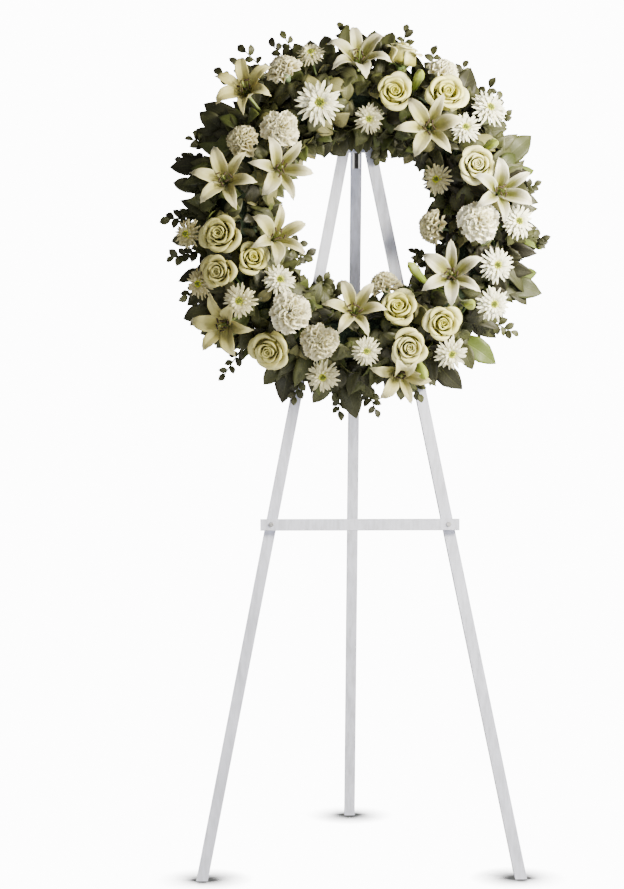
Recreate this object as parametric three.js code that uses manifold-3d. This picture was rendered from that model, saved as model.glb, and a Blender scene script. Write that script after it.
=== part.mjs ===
// A standing funeral wreath of white flowers on its folding wooden easel.
// Millimetres, +Z up. The wreath faces -Y, +X is to its right as seen from the front,
// and the origin lies on the floor under the middle of the easel's footprint.

import * as THREE from 'three';
import { mergeVertices } from 'three/addons/utils/BufferGeometryUtils.js';
import Module from 'manifold-3d';

const wasm = await Module();
wasm.setup();

// Clearance between two pieces that touch
const CLEAR = 0.3;

// Easel
const STICK = 18;
const FOOT_SPREAD = 251;
const LEAN = THREE.MathUtils.degToRad(9.45);
const BACK_LEAN = THREE.MathUtils.degToRad(12.2);
const LEGS_MEET_UP = 1278;
const FRONT_LEG_TOP = 1222;
const CROSSBAR_UP = 559;
const CROSSBAR_LENGTH = 317;
const CROSSBAR_THICK = 10;
const SCREW_SHANK = 2;
const SCREW_HEAD = 4.2;
const SCREW_HEAD_THICK = 1.6;
const SCREW_LENGTH = 22;
const HEAD_PLATE_THICK = 6;
const HEAD_PLATE_LOW = 1168;
const HEAD_PLATE_HALF_LOW = 28;
const HEAD_PLATE_HALF_TOP = 19;

// Hinge between the head plate and the back leg
const HINGE_UP = 1195;
const HINGE_WIDTH = 12;
const KNUCKLE_RADIUS = 3;
const KNUCKLE_MIDDLE = 4;
const PIN_RADIUS = 1.2;
const LEAF_THICK = 2;
const FIXED_LEAF_LENGTH = 25;
const MOVING_LEAF_LENGTH = 52;
const BACK_LEG_HORN = 15.5;

// Ring of foam in its plastic tray, hung on a peg
const WREATH_UP = 1046;
const RING_RADIUS = 195;
const CORE_DEPTH = 27;
const FOAM_HALF_WIDTH = 29.7;
const FOAM_TOP = 50;
const FOAM_SIDE_UP = 36;
const FOAM_SHOULDER_UP = 48.5;
const FOAM_SHOULDER_OUT = 19;
const RING_FACETS = 24;
const TRAY_FLOOR = 3;
const TRAY_WALL_HEIGHT = 9;
const TRAY_WALL = 2.7;
const PEG_RADIUS = 4;
const PEG_COLLAR = 5.6;
const PEG_REACH = 14;

// Flowers: heights are measured outward from the ring's core circle
const STEM_RADIUS = 2.2;
const STEM_SIDES = 4;
const STEM_END = 14;
const BRANCH_HEIGHT = 35;
const SEAT_HEIGHT = 60;
const WIDEST_TILT = THREE.MathUtils.degToRad(74);
const LILY_BASE = 54;
const ROSE_BASE = 38;
const CARNATION_BASE = 40;
const CARNATION_CUP = 6.5;
const MUM_BASE = 59;
const BUD_BASE = 48;
const PETAL_THICK = 1.4;
const LEAF_BLADE_THICK = 1.2;

function surface(color, roughness, metalness) {
  return new THREE.MeshStandardMaterial({ color, roughness, metalness });
}

const finish = {
  paint: () => surface(0xe6e8ec, 0.55, 0),
  steel: () => surface(0x8b8d8f, 0.35, 1),
  foam: () => surface(0x35482f, 0.95, 0),
  tray: () => surface(0x2c3a2a, 0.5, 0),
  lily: () => surface(0xeee8d4, 0.6, 0),
  rose: () => surface(0xefeac8, 0.6, 0),
  carnation: () => surface(0xf3efe2, 0.7, 0),
  mum: () => surface(0xf2f1e8, 0.7, 0),
  greens: () => surface(0x3d4a2d, 0.5, 0),
};

const turn = THREE.MathUtils.degToRad;
const vec = (x, y, z) => new THREE.Vector3(x, y, z);

// The point at a radius and an angle about Z, and a height along it.
function onDisc(radius, angle, height) {
  return vec(radius * Math.cos(angle), radius * Math.sin(angle), height);
}

// A small seeded generator, so each build gives the same flowers.
function seeded(seed) {
  let state = seed;
  return () => {
    state = (state * 1664525 + 1013904223) % 4294967296;
    return state / 4294967296;
  };
}

// Closed geometry from points and faces, turned so that the faces point out.
function closedShape(points, faces) {
  let volume = 0;
  for (const [a, b, c] of faces) {
    volume += points[a].dot(points[b].clone().cross(points[c]));
  }
  const outward = volume > 0 ? faces : faces.map(([a, b, c]) => [a, c, b]);
  const geometry = new THREE.BufferGeometry().setFromPoints(points);
  geometry.setIndex(outward.flat());
  return geometry;
}

// A skin over a row of rings. It closes to a point at an end that is given, and is flat elsewhere.
function skin(rings, start, end) {
  const count = rings[0].length;
  const points = rings.flat();
  const faces = [];
  for (let row = 0; row + 1 < rings.length; row += 1) {
    for (let side = 0; side < count; side += 1) {
      const a = row * count + side;
      const b = row * count + (side + 1) % count;
      faces.push([a, b, b + count], [a, b + count, a + count]);
    }
  }
  const last = (rings.length - 1) * count;
  const cap = (first, point, flip) => {
    const hub = point ? points.push(point) - 1 : first;
    for (let side = point ? 0 : 1; side < (point ? count : count - 1); side += 1) {
      const a = first + side;
      const b = first + (side + 1) % count;
      faces.push(flip ? [hub, b, a] : [hub, a, b]);
    }
  };
  cap(0, start, true);
  cap(last, end, false);
  return closedShape(points, faces);
}

// A thin blade with a lens-shaped section at each station, pointed at its root and its tip.
function blade(root, stations, tip, thick) {
  const rings = stations.map(({ at, across, face, cup }) => {
    const edge = face.clone().multiplyScalar(cup);
    return [
      at.clone().sub(across).add(edge),
      at.clone().addScaledVector(face, thick / 2),
      at.clone().add(across).add(edge),
      at.clone().addScaledVector(face, -thick / 2),
    ];
  });
  return skin(rings, root, tip);
}

// A round tapering stem along a path of points.
function stemAlong(path, radiusStart, radiusEnd, sides) {
  const curve = new THREE.CatmullRomCurve3(path);
  const steps = path.length - 1;
  const frames = curve.computeFrenetFrames(steps, false);
  const rings = [];
  for (let step = 0; step <= steps; step += 1) {
    const centre = curve.getPoint(step / steps);
    const radius = THREE.MathUtils.lerp(radiusStart, radiusEnd, step / steps);
    const ring = [];
    for (let side = 0; side < sides; side += 1) {
      const angle = 2 * Math.PI * side / sides;
      ring.push(centre.clone()
        .addScaledVector(frames.normals[step], radius * Math.cos(angle))
        .addScaledVector(frames.binormals[step], radius * Math.sin(angle)));
    }
    rings.push(ring);
  }
  return skin(rings);
}

// A straight upright stem along Z.
function uprightStem(low, high, radius) {
  const ring = (height) => Array.from({ length: STEM_SIDES }, (_, side) => {
    const angle = 2 * Math.PI * side / STEM_SIDES;
    return onDisc(radius, angle, height);
  });
  return skin([ring(low), ring(high)]);
}

function solid(geometry) {
  const bare = geometry.clone();
  bare.deleteAttribute('normal');
  bare.deleteAttribute('uv');
  const merged = mergeVertices(bare, 1e-4);
  const mesh = new wasm.Mesh({
    numProp: 3,
    vertProperties: new Float32Array(merged.attributes.position.array),
    triVerts: new Uint32Array(merged.index.array),
  });
  return new wasm.Manifold(mesh);
}

function shapeOf(body) {
  const { vertProperties, triVerts } = body.getMesh();
  const geometry = new THREE.BufferGeometry();
  geometry.setAttribute('position', new THREE.BufferAttribute(new Float32Array(vertProperties), 3));
  geometry.setIndex(new THREE.BufferAttribute(new Uint32Array(triVerts), 1));
  geometry.computeVertexNormals();
  return geometry;
}

function fused(geometries) {
  return shapeOf(geometries.map(solid).reduce((whole, next) => whole.add(next)));
}

function cutFrom(geometry, cutters) {
  return shapeOf(cutters.map(solid).reduce((whole, next) => whole.subtract(next), solid(geometry)));
}

function piece(name, geometry, material) {
  const mesh = new THREE.Mesh(geometry, material);
  mesh.name = name;
  return mesh;
}

// The groups: the front frame leans back, and the wreath lies on its front face.
const object = new THREE.Group();
const front = new THREE.Group();
front.rotation.x = Math.PI / 2 - LEAN;
object.add(front);
const wreath = new THREE.Group();
wreath.position.set(0, WREATH_UP, 0);
front.add(wreath);

const hingeDeep = STICK + CLEAR + HEAD_PLATE_THICK + CLEAR + KNUCKLE_RADIUS;
const hingePlace = vec(0, HINGE_UP, -hingeDeep).applyEuler(front.rotation);
const back = new THREE.Group();
back.rotation.x = Math.PI / 2 + BACK_LEAN;
back.position.copy(hingePlace);
object.add(back);

const backFootDeep = hingePlace.y + hingePlace.z * Math.tan(BACK_LEAN)
  + (KNUCKLE_RADIUS + CLEAR + STICK) / Math.cos(BACK_LEAN);
object.position.y = -backFootDeep / 2;
object.updateMatrixWorld(true);

// A square stick along Y under a parent group, with its foot cut level with the floor.
function levelStick(name, parent, place, tilt, faceDepth, top) {
  const mesh = piece(name, new THREE.BufferGeometry(), finish.paint());
  mesh.position.copy(place);
  mesh.rotation.z = tilt;
  parent.add(mesh);
  mesh.updateMatrixWorld(true);
  const half = STICK / 2;
  const rearDepth = faceDepth - STICK;
  const corners = [[-half, rearDepth], [half, rearDepth], [half, faceDepth], [-half, faceDepth]];
  const climb = mesh.matrixWorld.elements[6];
  const foot = corners.map(([x, z]) => {
    const level = vec(x, 0, z).applyMatrix4(mesh.matrixWorld).z;
    return vec(x, -level / climb, z);
  });
  mesh.geometry = skin([foot, corners.map(([x, z]) => vec(x, top, z))]);
  return mesh;
}

const splay = Math.atan(FOOT_SPREAD / LEGS_MEET_UP);
const legRun = FRONT_LEG_TOP / Math.cos(splay);

function screwPlace(side) {
  return vec(side * FOOT_SPREAD * (1 - CROSSBAR_UP / LEGS_MEET_UP), CROSSBAR_UP, 0);
}

function roundBar(radius, low, high, sides) {
  const bar = new THREE.CylinderGeometry(radius, radius, high - low, sides);
  bar.rotateX(Math.PI / 2);
  bar.translate(0, 0, (low + high) / 2);
  return bar;
}

function makeFrontLegs() {
  for (const [name, side] of [['front_leg_left', -1], ['front_leg_right', 1]]) {
    const leg = levelStick(name, front, vec(side * FOOT_SPREAD, 0, 0), side * splay, 0, legRun);
    const hole = roundBar(SCREW_SHANK + CLEAR, CROSSBAR_THICK - SCREW_LENGTH - CLEAR, STICK, 8);
    const place = screwPlace(side);
    hole.translate(place.x, place.y, 0);
    leg.updateMatrix();
    hole.applyMatrix4(leg.matrix.clone().invert());
    leg.geometry = cutFrom(leg.geometry, [hole]);
  }
}

function makeCrossbar() {
  const low = CLEAR;
  const bar = new THREE.BoxGeometry(CROSSBAR_LENGTH, STICK, CROSSBAR_THICK);
  bar.translate(0, CROSSBAR_UP, low + CROSSBAR_THICK / 2);
  const holes = [-1, 1].map((side) => {
    const place = screwPlace(side);
    return roundBar(SCREW_SHANK + CLEAR, -CLEAR, STICK, 8).translate(place.x, place.y, 0);
  });
  front.add(piece('crossbar', cutFrom(bar, holes), finish.paint()));
  for (const [name, side] of [['crossbar_screw_left', -1], ['crossbar_screw_right', 1]]) {
    const seat = low + CROSSBAR_THICK + CLEAR;
    const profile = [
      [0, seat - SCREW_LENGTH], [SCREW_SHANK, seat - SCREW_LENGTH + SCREW_SHANK], [SCREW_SHANK, seat],
      [SCREW_HEAD, seat], [SCREW_HEAD * 0.75, seat + SCREW_HEAD_THICK], [0, seat + SCREW_HEAD_THICK],
    ];
    const screw = new THREE.LatheGeometry(profile.map(([r, z]) => new THREE.Vector2(r, z)), 8);
    screw.rotateX(Math.PI / 2);
    const mesh = piece(name, screw, finish.steel());
    mesh.position.copy(screwPlace(side));
    front.add(mesh);
  }
}

const pegUp = WREATH_UP + RING_RADIUS - FOAM_HALF_WIDTH - CLEAR - TRAY_WALL - CLEAR - PEG_RADIUS;
const headPlateFace = -STICK - CLEAR;

function makeHeadPlate() {
  const outline = new THREE.Shape([
    new THREE.Vector2(-HEAD_PLATE_HALF_LOW, HEAD_PLATE_LOW),
    new THREE.Vector2(HEAD_PLATE_HALF_LOW, HEAD_PLATE_LOW),
    new THREE.Vector2(HEAD_PLATE_HALF_TOP, FRONT_LEG_TOP),
    new THREE.Vector2(-HEAD_PLATE_HALF_TOP, FRONT_LEG_TOP),
  ]);
  const plate = new THREE.ExtrudeGeometry(outline, { depth: HEAD_PLATE_THICK, bevelEnabled: false });
  plate.translate(0, 0, headPlateFace - HEAD_PLATE_THICK);
  const hole = roundBar(PEG_RADIUS + CLEAR, headPlateFace - 2 * HEAD_PLATE_THICK, 0, 12);
  hole.translate(0, pegUp, 0);
  front.add(piece('head_plate', cutFrom(plate, [hole]), finish.paint()));
}

function makePeg() {
  const rear = headPlateFace - HEAD_PLATE_THICK + CLEAR;
  const collar = TRAY_WALL_HEIGHT + 2 * CLEAR;
  const profile = [
    [0, rear], [PEG_RADIUS, rear], [PEG_RADIUS, collar], [PEG_COLLAR, collar + 1],
    [PEG_COLLAR, PEG_REACH - 1], [PEG_COLLAR - 1, PEG_REACH], [0, PEG_REACH],
  ];
  const peg = new THREE.LatheGeometry(profile.map(([r, z]) => new THREE.Vector2(r, z)), 12);
  peg.rotateX(Math.PI / 2);
  const mesh = piece('hanging_peg', peg, finish.paint());
  mesh.position.set(0, pegUp, 0);
  front.add(mesh);
}

// A knuckle: a short tube along X round the hinge's axis.
function knuckle(from, to) {
  const outline = new THREE.Shape().absarc(0, 0, KNUCKLE_RADIUS, 0, 2 * Math.PI);
  outline.holes.push(new THREE.Path().absarc(0, 0, PIN_RADIUS + CLEAR, 0, 2 * Math.PI));
  const tube = new THREE.ExtrudeGeometry(outline, {
    depth: to - from,
    bevelEnabled: false,
    curveSegments: 6,
  });
  tube.rotateY(Math.PI / 2);
  tube.translate(from, 0, 0);
  return tube;
}

// A hinge leaf hanging from the axis, with its plate on the side that it is fixed to.
function hingeLeaf(length, side, knuckles, clearOf) {
  const plate = new THREE.BoxGeometry(HINGE_WIDTH, length, LEAF_THICK);
  plate.translate(0, -length / 2, side * (KNUCKLE_RADIUS - LEAF_THICK / 2));
  const swept = clearOf.map(([from, to]) => {
    const room = 2 * (KNUCKLE_RADIUS + CLEAR);
    const box = new THREE.BoxGeometry(to - from + 2 * CLEAR, room, room);
    return box.translate((from + to) / 2, 0, 0);
  });
  const bore = roundBar(PIN_RADIUS + CLEAR, -HINGE_WIDTH, HINGE_WIDTH, 12).rotateY(Math.PI / 2);
  const tubes = knuckles.map(([from, to]) => solid(knuckle(from, to)));
  const cut = [...swept, bore].map(solid).reduce((whole, next) => whole.subtract(next), solid(plate));
  return shapeOf(tubes.reduce((whole, next) => whole.add(next), cut));
}

function makeHinge() {
  const end = HINGE_WIDTH / 2;
  const middle = KNUCKLE_MIDDLE / 2;
  const outer = [[-end, -middle - CLEAR], [middle + CLEAR, end]];
  const inner = [[-middle, middle]];
  const fixed = piece('hinge_leaf_fixed', hingeLeaf(FIXED_LEAF_LENGTH, 1, outer, inner), finish.steel());
  fixed.position.set(0, HINGE_UP, -hingeDeep);
  front.add(fixed);
  const pin = roundBar(PIN_RADIUS, -end, end, 12).rotateY(Math.PI / 2);
  const pinMesh = piece('hinge_pin', pin, finish.steel());
  pinMesh.position.copy(fixed.position);
  front.add(pinMesh);
  back.add(piece('hinge_leaf_moving', hingeLeaf(MOVING_LEAF_LENGTH, -1, inner, outer), finish.steel()));
}

// The ring: a lathe profile in (radius, depth), turned so that its axis faces forward.
function ringFrom(profile, segments) {
  const points = [...profile, profile[0]].map(([r, z]) => new THREE.Vector2(r, z));
  return new THREE.LatheGeometry(points, segments).rotateX(Math.PI / 2);
}

function makeTray() {
  const floor = CLEAR + TRAY_FLOOR;
  const inner = RING_RADIUS - FOAM_HALF_WIDTH - CLEAR;
  const outer = RING_RADIUS + FOAM_HALF_WIDTH + CLEAR;
  const tray = ringFrom([
    [inner - TRAY_WALL, CLEAR], [outer + TRAY_WALL, CLEAR], [outer + TRAY_WALL, TRAY_WALL_HEIGHT],
    [outer, TRAY_WALL_HEIGHT], [outer, floor], [inner, floor], [inner, TRAY_WALL_HEIGHT],
    [inner - TRAY_WALL, TRAY_WALL_HEIGHT],
  ], RING_FACETS);
  wreath.add(piece('ring_tray', tray, finish.tray()));
}

// The place of a bloom on the ring: the core circle's point, and the outward axis tilted in or out.
function bloomFrame({ clock, tilt, spin = 0 }) {
  const radial = vec(Math.cos(clock), Math.sin(clock), 0);
  const along = vec(-Math.sin(clock), Math.cos(clock), 0);
  const axis = radial.clone().multiplyScalar(Math.sin(tilt)).add(vec(0, 0, Math.cos(tilt)));
  const core = radial.clone().multiplyScalar(RING_RADIUS).setZ(CORE_DEPTH);
  const side = axis.clone().cross(along);
  return new THREE.Matrix4().makeBasis(along.negate(), side.negate(), axis).setPosition(core)
    .multiply(new THREE.Matrix4().makeRotationZ(spin));
}

function placeAt(bloom, height) {
  return vec(0, 0, height).applyMatrix4(bloomFrame(bloom));
}

// The flowers, as they stand in the wreath: reach is the distance from the wreath's centre,
// clock the angle anticlockwise from the right, across the width of the head,
// rise how much longer its stem is than the shortest of its kind.
const lilies = [
  { reach: 253, clock: 90, across: 116, rise: 0, spin: 8 },
  { reach: 267, clock: 132, across: 112, rise: 20, spin: 20 },
  { reach: 218, clock: 167, across: 114, rise: 5, spin: 2 },
  { reach: 149, clock: 151, across: 114, rise: 5, spin: 24 },
  { reach: 141, clock: 196, across: 108, rise: 10, spin: 10 },
  { reach: 276, clock: 219, across: 112, rise: 20, spin: 12 },
  { reach: 160, clock: 266, across: 108, rise: 10, spin: 30 },
  { reach: 176, clock: 324, across: 114, rise: 10, spin: 4 },
  { reach: 184, clock: 51, across: 116, rise: 10, spin: 16 },
  { reach: 221, clock: 8, across: 114, rise: 0, spin: 26 },
  { reach: 255, clock: 284, across: 108, rise: 10, spin: 4 },
];
const roses = [
  { reach: 198, clock: 74, across: 65, rise: 0 },
  { reach: 247, clock: 48, across: 73, rise: 20 },
  { reach: 295, clock: 75, across: 62, rise: 19, nod: 0 },
  { reach: 230, clock: 192, across: 72, rise: 0 },
  { reach: 202, clock: 211, across: 56, rise: 0 },
  { reach: 240, clock: 208, across: 60, rise: 20 },
  { reach: 139, clock: 290, across: 66, rise: 10 },
  { reach: 231, clock: 294, across: 66, rise: 20 },
  { reach: 224, clock: 298, across: 64, rise: 10 },
  { reach: 212, clock: 24, across: 66, rise: 15 },
  { reach: 261, clock: 237, across: 71, rise: 14 },
];
const carnations = [
  { reach: 185, clock: 134, across: 68, rise: 0 },
  { reach: 198, clock: 356, across: 74, rise: 10 },
  { reach: 187, clock: 232, across: 74, rise: 20 },
  { reach: 223, clock: 248, across: 66, rise: 0 },
  { reach: 105, clock: 353, across: 60, rise: 20 },
  { reach: 105, clock: 290, across: 58, rise: 20 },
  { reach: 218, clock: 148, across: 60, rise: 5 },
  { reach: 271, clock: 115, across: 66, rise: 19 },
  { reach: 295, clock: 58, across: 62, rise: 19 },
];

// Sprays of chrysanthemums: the first head stands on the spray's own stem.
const mumSprays = [
  [
    { reach: 187, clock: 110, across: 82, rise: 0 },
    { reach: 161, clock: 82, across: 54, rise: 0 },
    { reach: 295, clock: 108, across: 52, rise: 20 },
  ],
  [
    { reach: 229, clock: 46, across: 56, rise: 0 },
    { reach: 264, clock: 42, across: 70, rise: 20 },
    { reach: 137, clock: 26, across: 58, rise: 0 },
  ],
  [
    { reach: 231, clock: 339, across: 64, rise: 0 },
    { reach: 255, clock: 325, across: 62, rise: 20 },
    { reach: 262, clock: 303, across: 62, rise: 9 },
    { reach: 241, clock: 357, across: 62, rise: 14 },
  ],
  [
    { reach: 222, clock: 272, across: 52, rise: 10 },
    { reach: 251, clock: 254, across: 62, rise: 5 },
  ],
  [
    { reach: 236, clock: 209, across: 60, rise: 20 },
    { reach: 295, clock: 203, across: 54, rise: 20 },
    { reach: 275, clock: 186, across: 54, rise: 19 },
  ],
  [
    { reach: 185, clock: 225, across: 58, rise: 0 },
  ],
];
const buds = [
  { reach: 229, clock: 68, across: 15, rise: 0, lily: 0 },
  { reach: 217, clock: 25, across: 15, rise: 0, lily: 9 },
  { reach: 225, clock: 319, across: 15, rise: 0, lily: 7 },
  { reach: 239, clock: 293, across: 16, rise: 14, lily: 10 },
  { reach: 121, clock: 315, across: 15, rise: 0, lily: 7 },
];

// For each kind of head: the height of its base and of its face above the ring's core circle,
// the height of its seat, the room it needs there as a share of its width, and how much of its
// stem's tilt the head takes back to face forward
const kinds = {
  lily: { base: LILY_BASE, face: 66, seat: LILY_BASE + 6, room: 0.2, nod: 0.65 },
  rose: { base: ROSE_BASE, face: 78, seat: ROSE_BASE + 26, room: 0.47, nod: 0.45 },
  carnation: { base: CARNATION_BASE, face: 72, seat: CARNATION_BASE + 22, room: 0.47, nod: 0.3 },
  mum: { base: MUM_BASE, face: 70, seat: MUM_BASE + 5, room: 0.46, nod: 0.55 },
  bud: { base: BUD_BASE, face: 84, seat: BUD_BASE + 20, room: 0.6, nod: 0 },
};

// The tilt of a stem that brings its head's face to its reach, found by halving.
function tiltFor({ reach, rise }, { base, face }, nod) {
  let low = -WIDEST_TILT;
  let high = WIDEST_TILT;
  for (let round = 0; round < 30; round += 1) {
    const tilt = (low + high) / 2;
    const out = (base + rise) * Math.sin(tilt) + (face - base) * Math.sin(tilt * (1 - nod));
    if (RING_RADIUS + out < reach) {
      low = tilt;
    } else {
      high = tilt;
    }
  }
  return (low + high) / 2;
}

function enrol(kind, list) {
  return list.map((entry) => {
    const nod = entry.nod ?? kinds[kind].nod;
    return {
      ...entry,
      kind,
      nod,
      clock: turn(entry.clock),
      tilt: tiltFor(entry, kinds[kind], nod),
      spin: turn(entry.spin ?? entry.clock * 7),
      room: entry.across * kinds[kind].room,
    };
  });
}

// The frame of a bloom's head: on the top of its stem, and turned there to face forward more.
function headFrame(head) {
  const { base } = kinds[head.kind];
  const frame = bloomFrame({ ...head, tilt: head.tilt * (1 - head.nod) });
  const step = placeAt(head, base + head.rise).sub(vec(0, 0, base).applyMatrix4(frame));
  return new THREE.Matrix4().makeTranslation(step.x, step.y, step.z).multiply(frame);
}

function seatOf(head) {
  return vec(0, 0, kinds[head.kind].seat).applyMatrix4(headFrame(head));
}

const lilyHeads = enrol('lily', lilies);
const roseHeads = enrol('rose', roses);
const carnationHeads = enrol('carnation', carnations);
const sprayHeads = mumSprays.map((spray) => enrol('mum', spray));
const budHeads = enrol('bud', buds);
const heads = [...lilyHeads, ...roseHeads, ...carnationHeads, ...sprayHeads.flat(), ...budHeads];

// Crowded heads push each other apart along the ring until each has its room.
function settleHeads() {
  const rounds = 150;
  const share = 0.25;
  for (let round = 0; round < rounds; round += 1) {
    const places = heads.map(seatOf);
    heads.forEach((head, index) => {
      const push = vec(0, 0, 0);
      places.forEach((other, rival) => {
        const apart = places[index].clone().sub(other);
        const lack = head.room + heads[rival].room + 1 - apart.length();
        if (rival !== index && lack > 0) {
          push.addScaledVector(apart.normalize(), lack * share);
        }
      });
      const radial = vec(Math.cos(head.clock), Math.sin(head.clock), 0);
      const along = vec(-Math.sin(head.clock), Math.cos(head.clock), 0);
      const across = radial.clone().multiplyScalar(Math.cos(head.tilt)).setZ(-Math.sin(head.tilt));
      const reach = RING_RADIUS + SEAT_HEIGHT * Math.sin(head.tilt);
      head.clock += push.dot(along) / reach;
      const tilt = head.tilt + push.dot(across) / SEAT_HEIGHT;
      head.tilt = THREE.MathUtils.clamp(tilt, -WIDEST_TILT, WIDEST_TILT);
    });
  }
}

settleHeads();

// A wedge-shaped petal: flat faces from its root to a short row of tips.
// A root is [upper left, upper right, lower left, lower right], as places in the list of points.
function growWedge(faces, [upperLeft, upperRight, lowerLeft, lowerRight], tips) {
  const last = tips.length - 1;
  for (let k = 0; k < last; k += 1) {
    faces.push([upperLeft, tips[k], tips[k + 1]], [lowerLeft, tips[k + 1], tips[k]]);
  }
  faces.push([upperLeft, tips[last], upperRight], [lowerLeft, lowerRight, tips[last]]);
  faces.push([lowerLeft, tips[0], upperLeft], [lowerRight, upperRight, tips[last]]);
}

// A blade-shaped petal: rings of [left, top, right, bottom] from its root to one tip.
function growBlade(faces, [upperLeft, upperRight, lowerLeft, lowerRight], rings, tip) {
  const [left, top, right, bottom] = rings[0];
  faces.push([upperLeft, left, top], [upperLeft, top, upperRight], [upperRight, top, right]);
  faces.push([upperRight, right, lowerRight], [lowerRight, right, bottom]);
  faces.push([lowerRight, bottom, lowerLeft], [lowerLeft, bottom, left], [lowerLeft, left, upperLeft]);
  for (let row = 0; row + 1 < rings.length; row += 1) {
    for (let side = 0; side < 4; side += 1) {
      const next = (side + 1) % 4;
      const [a, b, c, d] = [rings[row][side], rings[row][next], rings[row + 1][side], rings[row + 1][next]];
      faces.push([a, c, d], [a, d, b]);
    }
  }
  const end = rings[rings.length - 1];
  for (let side = 0; side < 4; side += 1) {
    faces.push([end[side], tip, end[(side + 1) % 4]]);
  }
}

// Layers of petals on one core, from the lowest to the top, as one closed shape. Each petal grows
// between two notches of its layer: a layer gives a row of tips, or rings and one tip.
function petalLayers(layers, count, under, crown) {
  const points = [vec(0, 0, under)];
  const faces = [];
  const place = (point) => points.push(point) - 1;
  const polar = (radius, angle, height) => place(onDisc(radius, angle, height));
  const step = 2 * Math.PI / count;
  let below = null;
  for (const { root, rootHeight, rootThick, shift, tips, petal } of layers) {
    const notch = (height) => (
      Array.from({ length: count }, (_, k) => polar(root, (k + shift) * step, height))
    );
    const lower = notch(rootHeight);
    const upper = notch(rootHeight + rootThick);
    for (let k = 0; k < count; k += 1) {
      const next = (k + 1) % count;
      const rootPlaces = [upper[k], upper[next], lower[k], lower[next]];
      if (tips) {
        const row = tips(k).map(({ at, radius, height }) => polar(radius, (k + shift + at) * step, height));
        growWedge(faces, rootPlaces, row);
      } else {
        const { rings, tip } = petal(k, (k + shift + 0.5) * step);
        growBlade(faces, rootPlaces, rings.map((ring) => ring.map(place)), place(tip));
      }
      if (below === null) {
        faces.push([0, lower[next], lower[k]]);
      } else {
        faces.push([below[k], lower[next], lower[k]], [below[k], below[next], lower[next]]);
      }
    }
    below = upper;
  }
  const top = place(vec(0, 0, crown));
  for (let k = 0; k < count; k += 1) {
    faces.push([top, below[k], below[(k + 1) % count]]);
  }
  return closedShape(points, faces);
}

// Chrysanthemum: two layers of narrow rays round a low button.
function mumParts({ across }) {
  const radius = across / 2;
  const rays = 10;
  const layer = (reach, rootHeight, tipHeight, shift) => ({
    root: radius * 0.3,
    rootHeight,
    rootThick: 2.2,
    shift,
    tips: (k) => [0.2, 0.8].map((at) => ({
      at,
      radius: reach * (k % 2 ? 1 : 0.93),
      height: tipHeight + (k % 2 ? 0 : 1.2),
    })),
  });
  const base = MUM_BASE;
  const layers = [
    layer(radius, base + 3, base + 8, 0),
    layer(radius * 0.74, base + 7, base + 14, 0.5),
  ];
  return [petalLayers(layers, rays, base, base + 14)];
}

// Carnation: ruffled layers over a slim green cup.
function carnationParts({ across }) {
  const radius = across / 2;
  const petals = 8;
  const base = CARNATION_BASE;
  const ruffle = (reach, rootHeight, tipHeight, shift) => ({
    root: reach * 0.6,
    rootHeight,
    rootThick: 2,
    shift,
    tips: (k) => [0.14, 0.86].map((at, index) => ({
      at,
      radius: reach * (index === 1 ? 1 : 0.94),
      height: tipHeight + ((k + index) % 2 ? 2.6 : -1.6),
    })),
  });
  const layers = [
    ruffle(radius, base + 17, base + 21, 0),
    ruffle(radius * 0.9, base + 23.5, base + 30, 0.5),
    ruffle(radius * 0.7, base + 30, base + 38, 1),
    ruffle(radius * 0.44, base + 36, base + 43.5, 1.5),
  ];
  const cupRing = [0, 1, 2, 3, 4].map((k) => onDisc(CARNATION_CUP, turn(72 * k), base + 16));
  const cup = skin([cupRing], vec(0, 0, base), vec(0, 0, base + 19));
  return [petalLayers(layers, petals, base + 13, base + 42), cup];
}

// One cupped rose petal wrapping the axis, with one edge inside its neighbour and one outside.
function rosePetal(middle, half, reaches, heights) {
  const skew = 1.6;
  const bulge = 0.25 * (1 - Math.cos(half));
  const at = (share, reach, height) => {
    return onDisc(reach, middle + share * half, height);
  };
  const ring = (reach, height) => [
    at(-1, reach - skew, height),
    at(0, reach * (1 + bulge) - PETAL_THICK / 2, height),
    at(1, reach + skew, height),
    at(0, reach * (1 + bulge) + PETAL_THICK / 2, height),
  ];
  return {
    rings: [ring(reaches[0], heights[0]), ring(reaches[1], heights[1])],
    tip: at(0, reaches[2], heights[2]),
  };
}

// Rose: five outer petals, five inner ones and a heart of five small points.
function roseParts({ across }) {
  const radius = across / 2;
  const base = ROSE_BASE;
  const half = turn(35);
  const layers = [
    {
      root: radius * 0.24,
      rootHeight: base + 7,
      rootThick: 2,
      shift: 0,
      petal: (k, middle) => rosePetal(
        middle, half, [radius * 0.74, radius * 0.9, radius], [base + 18, base + 35, base + 38],
      ),
    },
    {
      root: radius * 0.22,
      rootHeight: base + 13,
      rootThick: 2,
      shift: 0.5,
      petal: (k, middle) => rosePetal(
        middle, half, [radius * 0.52, radius * 0.62, radius * 0.64], [base + 24, base + 41, base + 45],
      ),
    },
    {
      root: radius * 0.2,
      rootHeight: base + 20,
      rootThick: 2,
      shift: 1,
      tips: () => [0.1, 0.9].map((at, index) => ({
        at,
        radius: radius * (0.36 - 0.08 * index),
        height: base + 46,
      })),
    },
  ];
  return [petalLayers(layers, 5, base, base + 38)];
}

// The path of a lily's tepal in (distance from the axis, height), before it is bent clear.
function tepalPath(across, inner) {
  const size = across / 112;
  const rise = inner ? 1.5 : 0;
  return [[4, 5], [25, 35 + rise], [43, 44 + rise], [56, 42]].map(([out, up]) => [
    out * size, LILY_BASE + up * size,
  ]);
}

const tepalHalfWidths = { inner: [12.5, 11], outer: [10, 8.5] };

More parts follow.
